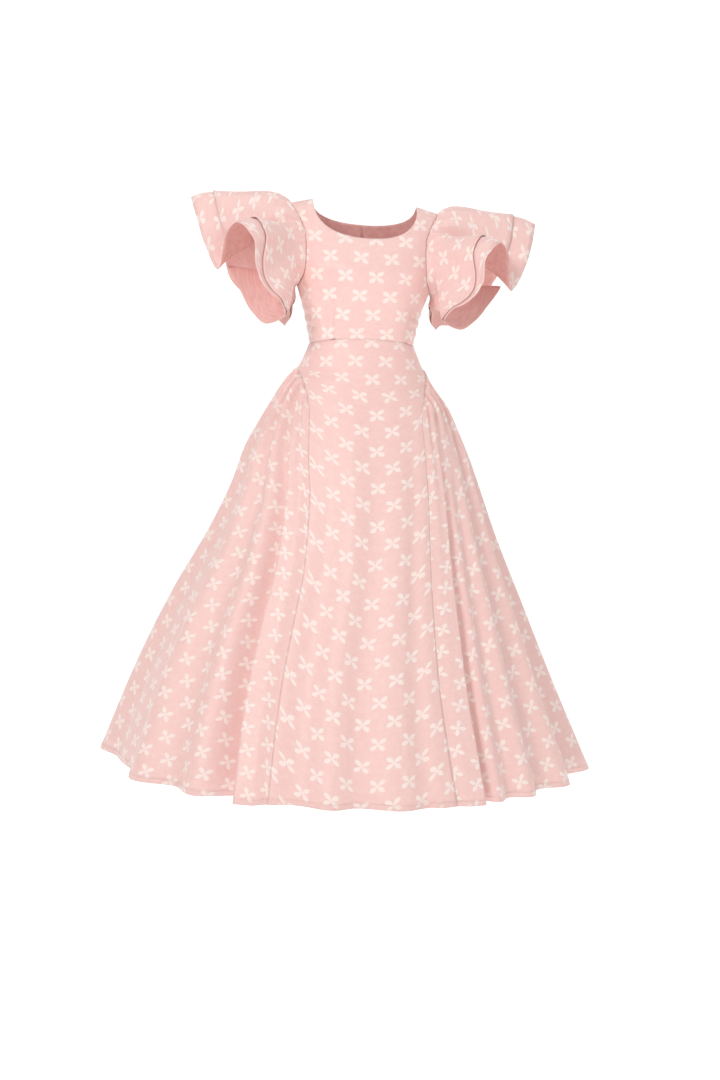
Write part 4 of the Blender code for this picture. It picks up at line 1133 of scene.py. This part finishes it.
def flounce(name, side, under, cut):
    """One layer of a sleeve. The under layer lies inside the upper one and reaches further."""
    seams = []
    numbers = []
    for rim, following in zip(FLOUNCE, FLOUNCE[1:]):
        for step in range(rim.columns * FLOUNCE_FINE):
            numbers.append(len(seams) / FLOUNCE_FINE)
            seams.append(between(rim.seam, following.seam, step / (rim.columns * FLOUNCE_FINE)))
    count = len(seams)
    rows = FLOUNCE_GRID_ROWS + 1 + (OVERHANG_ROWS if under else 0)
    points = {}
    for r in range(rows):
        for i, seam in enumerate(seams):
            reach = (r / FLOUNCE_GRID_ROWS) ** 1.2
            if r > FLOUNCE_GRID_ROWS:
                reach = between(1.0, rim_reach(seam), (r - FLOUNCE_GRID_ROWS) / OVERHANG_ROWS)
            lifted = sleeve_relief(seam, min(reach, 1.0), numbers[i])
            if under:
                lifted -= LAYER_STEP + LAYER_SPREAD * min(reach, 1.0)
            point = flounce_point(seam, reach) + flounce_normal(seam, reach) * lifted
            sideways = side * point.x + body_centre(point.z)
            points[r, (side * i) % count] = posed(Vector((sideways, point.y, point.z)))
    flat = {}
    for r in range(rows):
        run = 0.0
        for c in range(count + 1):
            if c:
                run += (points[r, c % count] - points[r, c - 1]).length
            flat[r, c] = (run, 0.0)
        for c in range(count + 1):
            drop = 0.0 if r == 0 else (points[r, c % count] - points[r - 1, c % count]).length
            flat[r, c] = (flat[r, c][0] - run / 2, (flat[r - 1, c][1] if r else 0.0) - drop)
    edge = []
    for c in range(count + 1):
        low = points[rows - 1, c % count]
        up = points[rows - 2, c % count] - low
        beside = points[rows - 1, (c + 1) % count] - points[rows - 1, (c - 1) % count]
        edge.append(low + up.normalized() * FLOUNCE_STITCH_RISE + beside.cross(up).normalized() * 0.0004)
    stitch_lines[name] = edge
    armhole = [(0, c) for c in range(count)]
    piece = shell(name, points, flat, wrap=count, thickness=FLOUNCE_SHELL, seams=armhole)
    declared(piece, name, *cut, held="gathered")


FLOUNCE_CUTS = {
    "flounce_upper_right": (1.150, 0.170, 0.0958),
    "flounce_upper_left": (1.150, 0.170, 0.0919),
    "flounce_under_right": (1.250, 0.205, 0.1230),
    "flounce_under_left": (1.250, 0.205, 0.1184),
}
for side_name, side_sign in (("right", -1), ("left", 1)):
    for layer in ("upper", "under"):
        name = f"flounce_{layer}_{side_name}"
        flounce(name, side_sign, layer == "under", FLOUNCE_CUTS[name])


# Hem stitches: a running stitch of cotton thread above each edge of the skirt and the flounces, which holds
# the narrow turned hem. Each row is laid along its line by geometry nodes, and then kept as a mesh.

STITCH_SPACING = 0.0036
STITCH_LENGTH = 0.0023
STITCH_RADIUS = 0.00028

cotton = bpy.data.materials.new("stitch_cotton")
cotton.use_nodes = True
cotton_tree = cotton.node_tree
cotton_shader = cotton_tree.nodes["Principled BSDF"]
cotton_place = cotton_tree.nodes.new("ShaderNodeTexCoord")
cotton_twist = cotton_tree.nodes.new("ShaderNodeTexNoise")
cotton_twist.inputs["Scale"].default_value = 1800.0
cotton_tree.links.new(cotton_place.outputs["Object"], cotton_twist.inputs["Vector"])
cotton_mix = cotton_tree.nodes.new("ShaderNodeMix")
cotton_mix.data_type = "RGBA"
cotton_mix.inputs["A"].default_value = (0.80, 0.47, 0.43, 1.0)
cotton_mix.inputs["B"].default_value = (0.92, 0.66, 0.60, 1.0)
cotton_tree.links.new(cotton_twist.outputs["Fac"], cotton_mix.inputs["Factor"])
cotton_tree.links.new(cotton_mix.outputs["Result"], cotton_shader.inputs["Base Color"])
cotton_shader.inputs["Roughness"].default_value = 0.6

stitching = bpy.data.node_groups.new("running_stitch", "GeometryNodeTree")
stitching.interface.new_socket("Geometry", in_out="INPUT", socket_type="NodeSocketGeometry")
stitching.interface.new_socket("Spacing", in_out="INPUT", socket_type="NodeSocketFloat")
stitching.interface.new_socket("Length", in_out="INPUT", socket_type="NodeSocketFloat")
stitching.interface.new_socket("Radius", in_out="INPUT", socket_type="NodeSocketFloat")
stitching.interface.new_socket("Finish", in_out="INPUT", socket_type="NodeSocketMaterial")
stitching.interface.new_socket("Geometry", in_out="OUTPUT", socket_type="NodeSocketGeometry")
stitch_in = stitching.nodes.new("NodeGroupInput")
stitch_out = stitching.nodes.new("NodeGroupOutput")
path = stitching.nodes.new("GeometryNodeMeshToCurve")
spots = stitching.nodes.new("GeometryNodeCurveToPoints")
spots.mode = "LENGTH"
bead = stitching.nodes.new("GeometryNodeMeshCylinder")
bead.inputs["Vertices"].default_value = 6
placed = stitching.nodes.new("GeometryNodeInstanceOnPoints")
real = stitching.nodes.new("GeometryNodeRealizeInstances")
painted = stitching.nodes.new("GeometryNodeSetMaterial")
for start, end in (
    (stitch_in.outputs["Geometry"], path.inputs["Mesh"]),
    (path.outputs["Curve"], spots.inputs["Curve"]),
    (stitch_in.outputs["Spacing"], spots.inputs["Length"]),
    (stitch_in.outputs["Radius"], bead.inputs["Radius"]),
    (stitch_in.outputs["Length"], bead.inputs["Depth"]),
    (spots.outputs["Points"], placed.inputs["Points"]),
    (bead.outputs["Mesh"], placed.inputs["Instance"]),
    (spots.outputs["Rotation"], placed.inputs["Rotation"]),
    (placed.outputs["Instances"], real.inputs["Geometry"]),
    (real.outputs["Geometry"], painted.inputs["Geometry"]),
    (stitch_in.outputs["Finish"], painted.inputs["Material"]),
    (painted.outputs["Geometry"], stitch_out.inputs["Geometry"]),
):
    stitching.links.new(start, end)


def repeated(name, places, spacing, length, radius, material, slot):
    """A row of small pieces along a line, kept as one mesh that rides on the dress."""
    guide_mesh = bpy.data.meshes.new(name + "_line")
    guide_mesh.from_pydata(places, [(i, i + 1) for i in range(len(places) - 1)], [])
    guide = bpy.data.objects.new(name + "_line", guide_mesh)
    bpy.context.collection.objects.link(guide)
    rows = guide.modifiers.new("row", "NODES")
    rows.node_group = stitching
    values = {"Spacing": spacing, "Length": length, "Radius": radius, "Finish": material}
    for item in stitching.interface.items_tree:
        if item.in_out == "INPUT" and item.name in values:
            rows[item.identifier] = values[item.name]
    settled = guide.evaluated_get(bpy.context.evaluated_depsgraph_get())
    mesh = bpy.data.meshes.new_from_object(settled)
    mesh.name = name
    mesh.shade_smooth()
    guide.modifiers.remove(rows)
    bpy.data.objects.remove(guide)
    piece = bpy.data.objects.new(name, mesh)
    bpy.context.collection.objects.link(piece)
    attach(piece, "dress")
    return piece


for sheet_name, places in stitch_lines.items():
    stitch = (STITCH_SPACING, STITCH_LENGTH, STITCH_RADIUS)
    repeated(f"stitches_{sheet_name}", places, *stitch, cotton, "jacquard")


# Zip: a concealed zip sewn behind the closed centre-back seam, with its teeth, and a small enamelled metal
# slider with a hanging pull at its top.

TOOTH_SPACING = 0.0016
TOOTH_LENGTH = 0.0009
TOOTH_RADIUS = 0.0011
ZIP_TOP = -0.060
ZIP_BOTTOM = -0.262
ZIP_BEHIND = 0.0032

enamel = bpy.data.materials.new("zip_enamel")
enamel.use_nodes = True
enamel_tree = enamel.node_tree
enamel_shader = enamel_tree.nodes["Principled BSDF"]
enamel_place = enamel_tree.nodes.new("ShaderNodeTexCoord")
enamel_wear = enamel_tree.nodes.new("ShaderNodeTexNoise")
enamel_wear.inputs["Scale"].default_value = 900.0
enamel_wear.inputs["Detail"].default_value = 4.0
enamel_tree.links.new(enamel_place.outputs["Object"], enamel_wear.inputs["Vector"])
enamel_mix = enamel_tree.nodes.new("ShaderNodeMix")
enamel_mix.data_type = "RGBA"
enamel_mix.inputs["A"].default_value = (0.78, 0.50, 0.46, 1.0)
enamel_mix.inputs["B"].default_value = (0.86, 0.62, 0.57, 1.0)
enamel_tree.links.new(enamel_wear.outputs["Fac"], enamel_mix.inputs["Factor"])
enamel_tree.links.new(enamel_mix.outputs["Result"], enamel_shader.inputs["Base Color"])
enamel_rough = enamel_tree.nodes.new("ShaderNodeMapRange")
enamel_rough.inputs["To Min"].default_value = 0.22
enamel_rough.inputs["To Max"].default_value = 0.42
enamel_tree.links.new(enamel_wear.outputs["Fac"], enamel_rough.inputs["Value"])
enamel_tree.links.new(enamel_rough.outputs["Result"], enamel_shader.inputs["Roughness"])
enamel_shader.inputs["Metallic"].default_value = 0.35
for node_name in ("zip_slider", "zip_pull"):
    for material_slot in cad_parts[node_name].material_slots:
        material_slot.material = enamel

tooth_line = []
for step in range(60):
    level = between(ZIP_TOP, ZIP_BOTTOM, step / 59)
    tooth_line.append(posed(torso(180.0, level)) - outward_of(torso, 180.0, level) * ZIP_BEHIND)
repeated("zip_teeth", tooth_line, TOOTH_SPACING, TOOTH_LENGTH, TOOTH_RADIUS, enamel, "zip_metal")
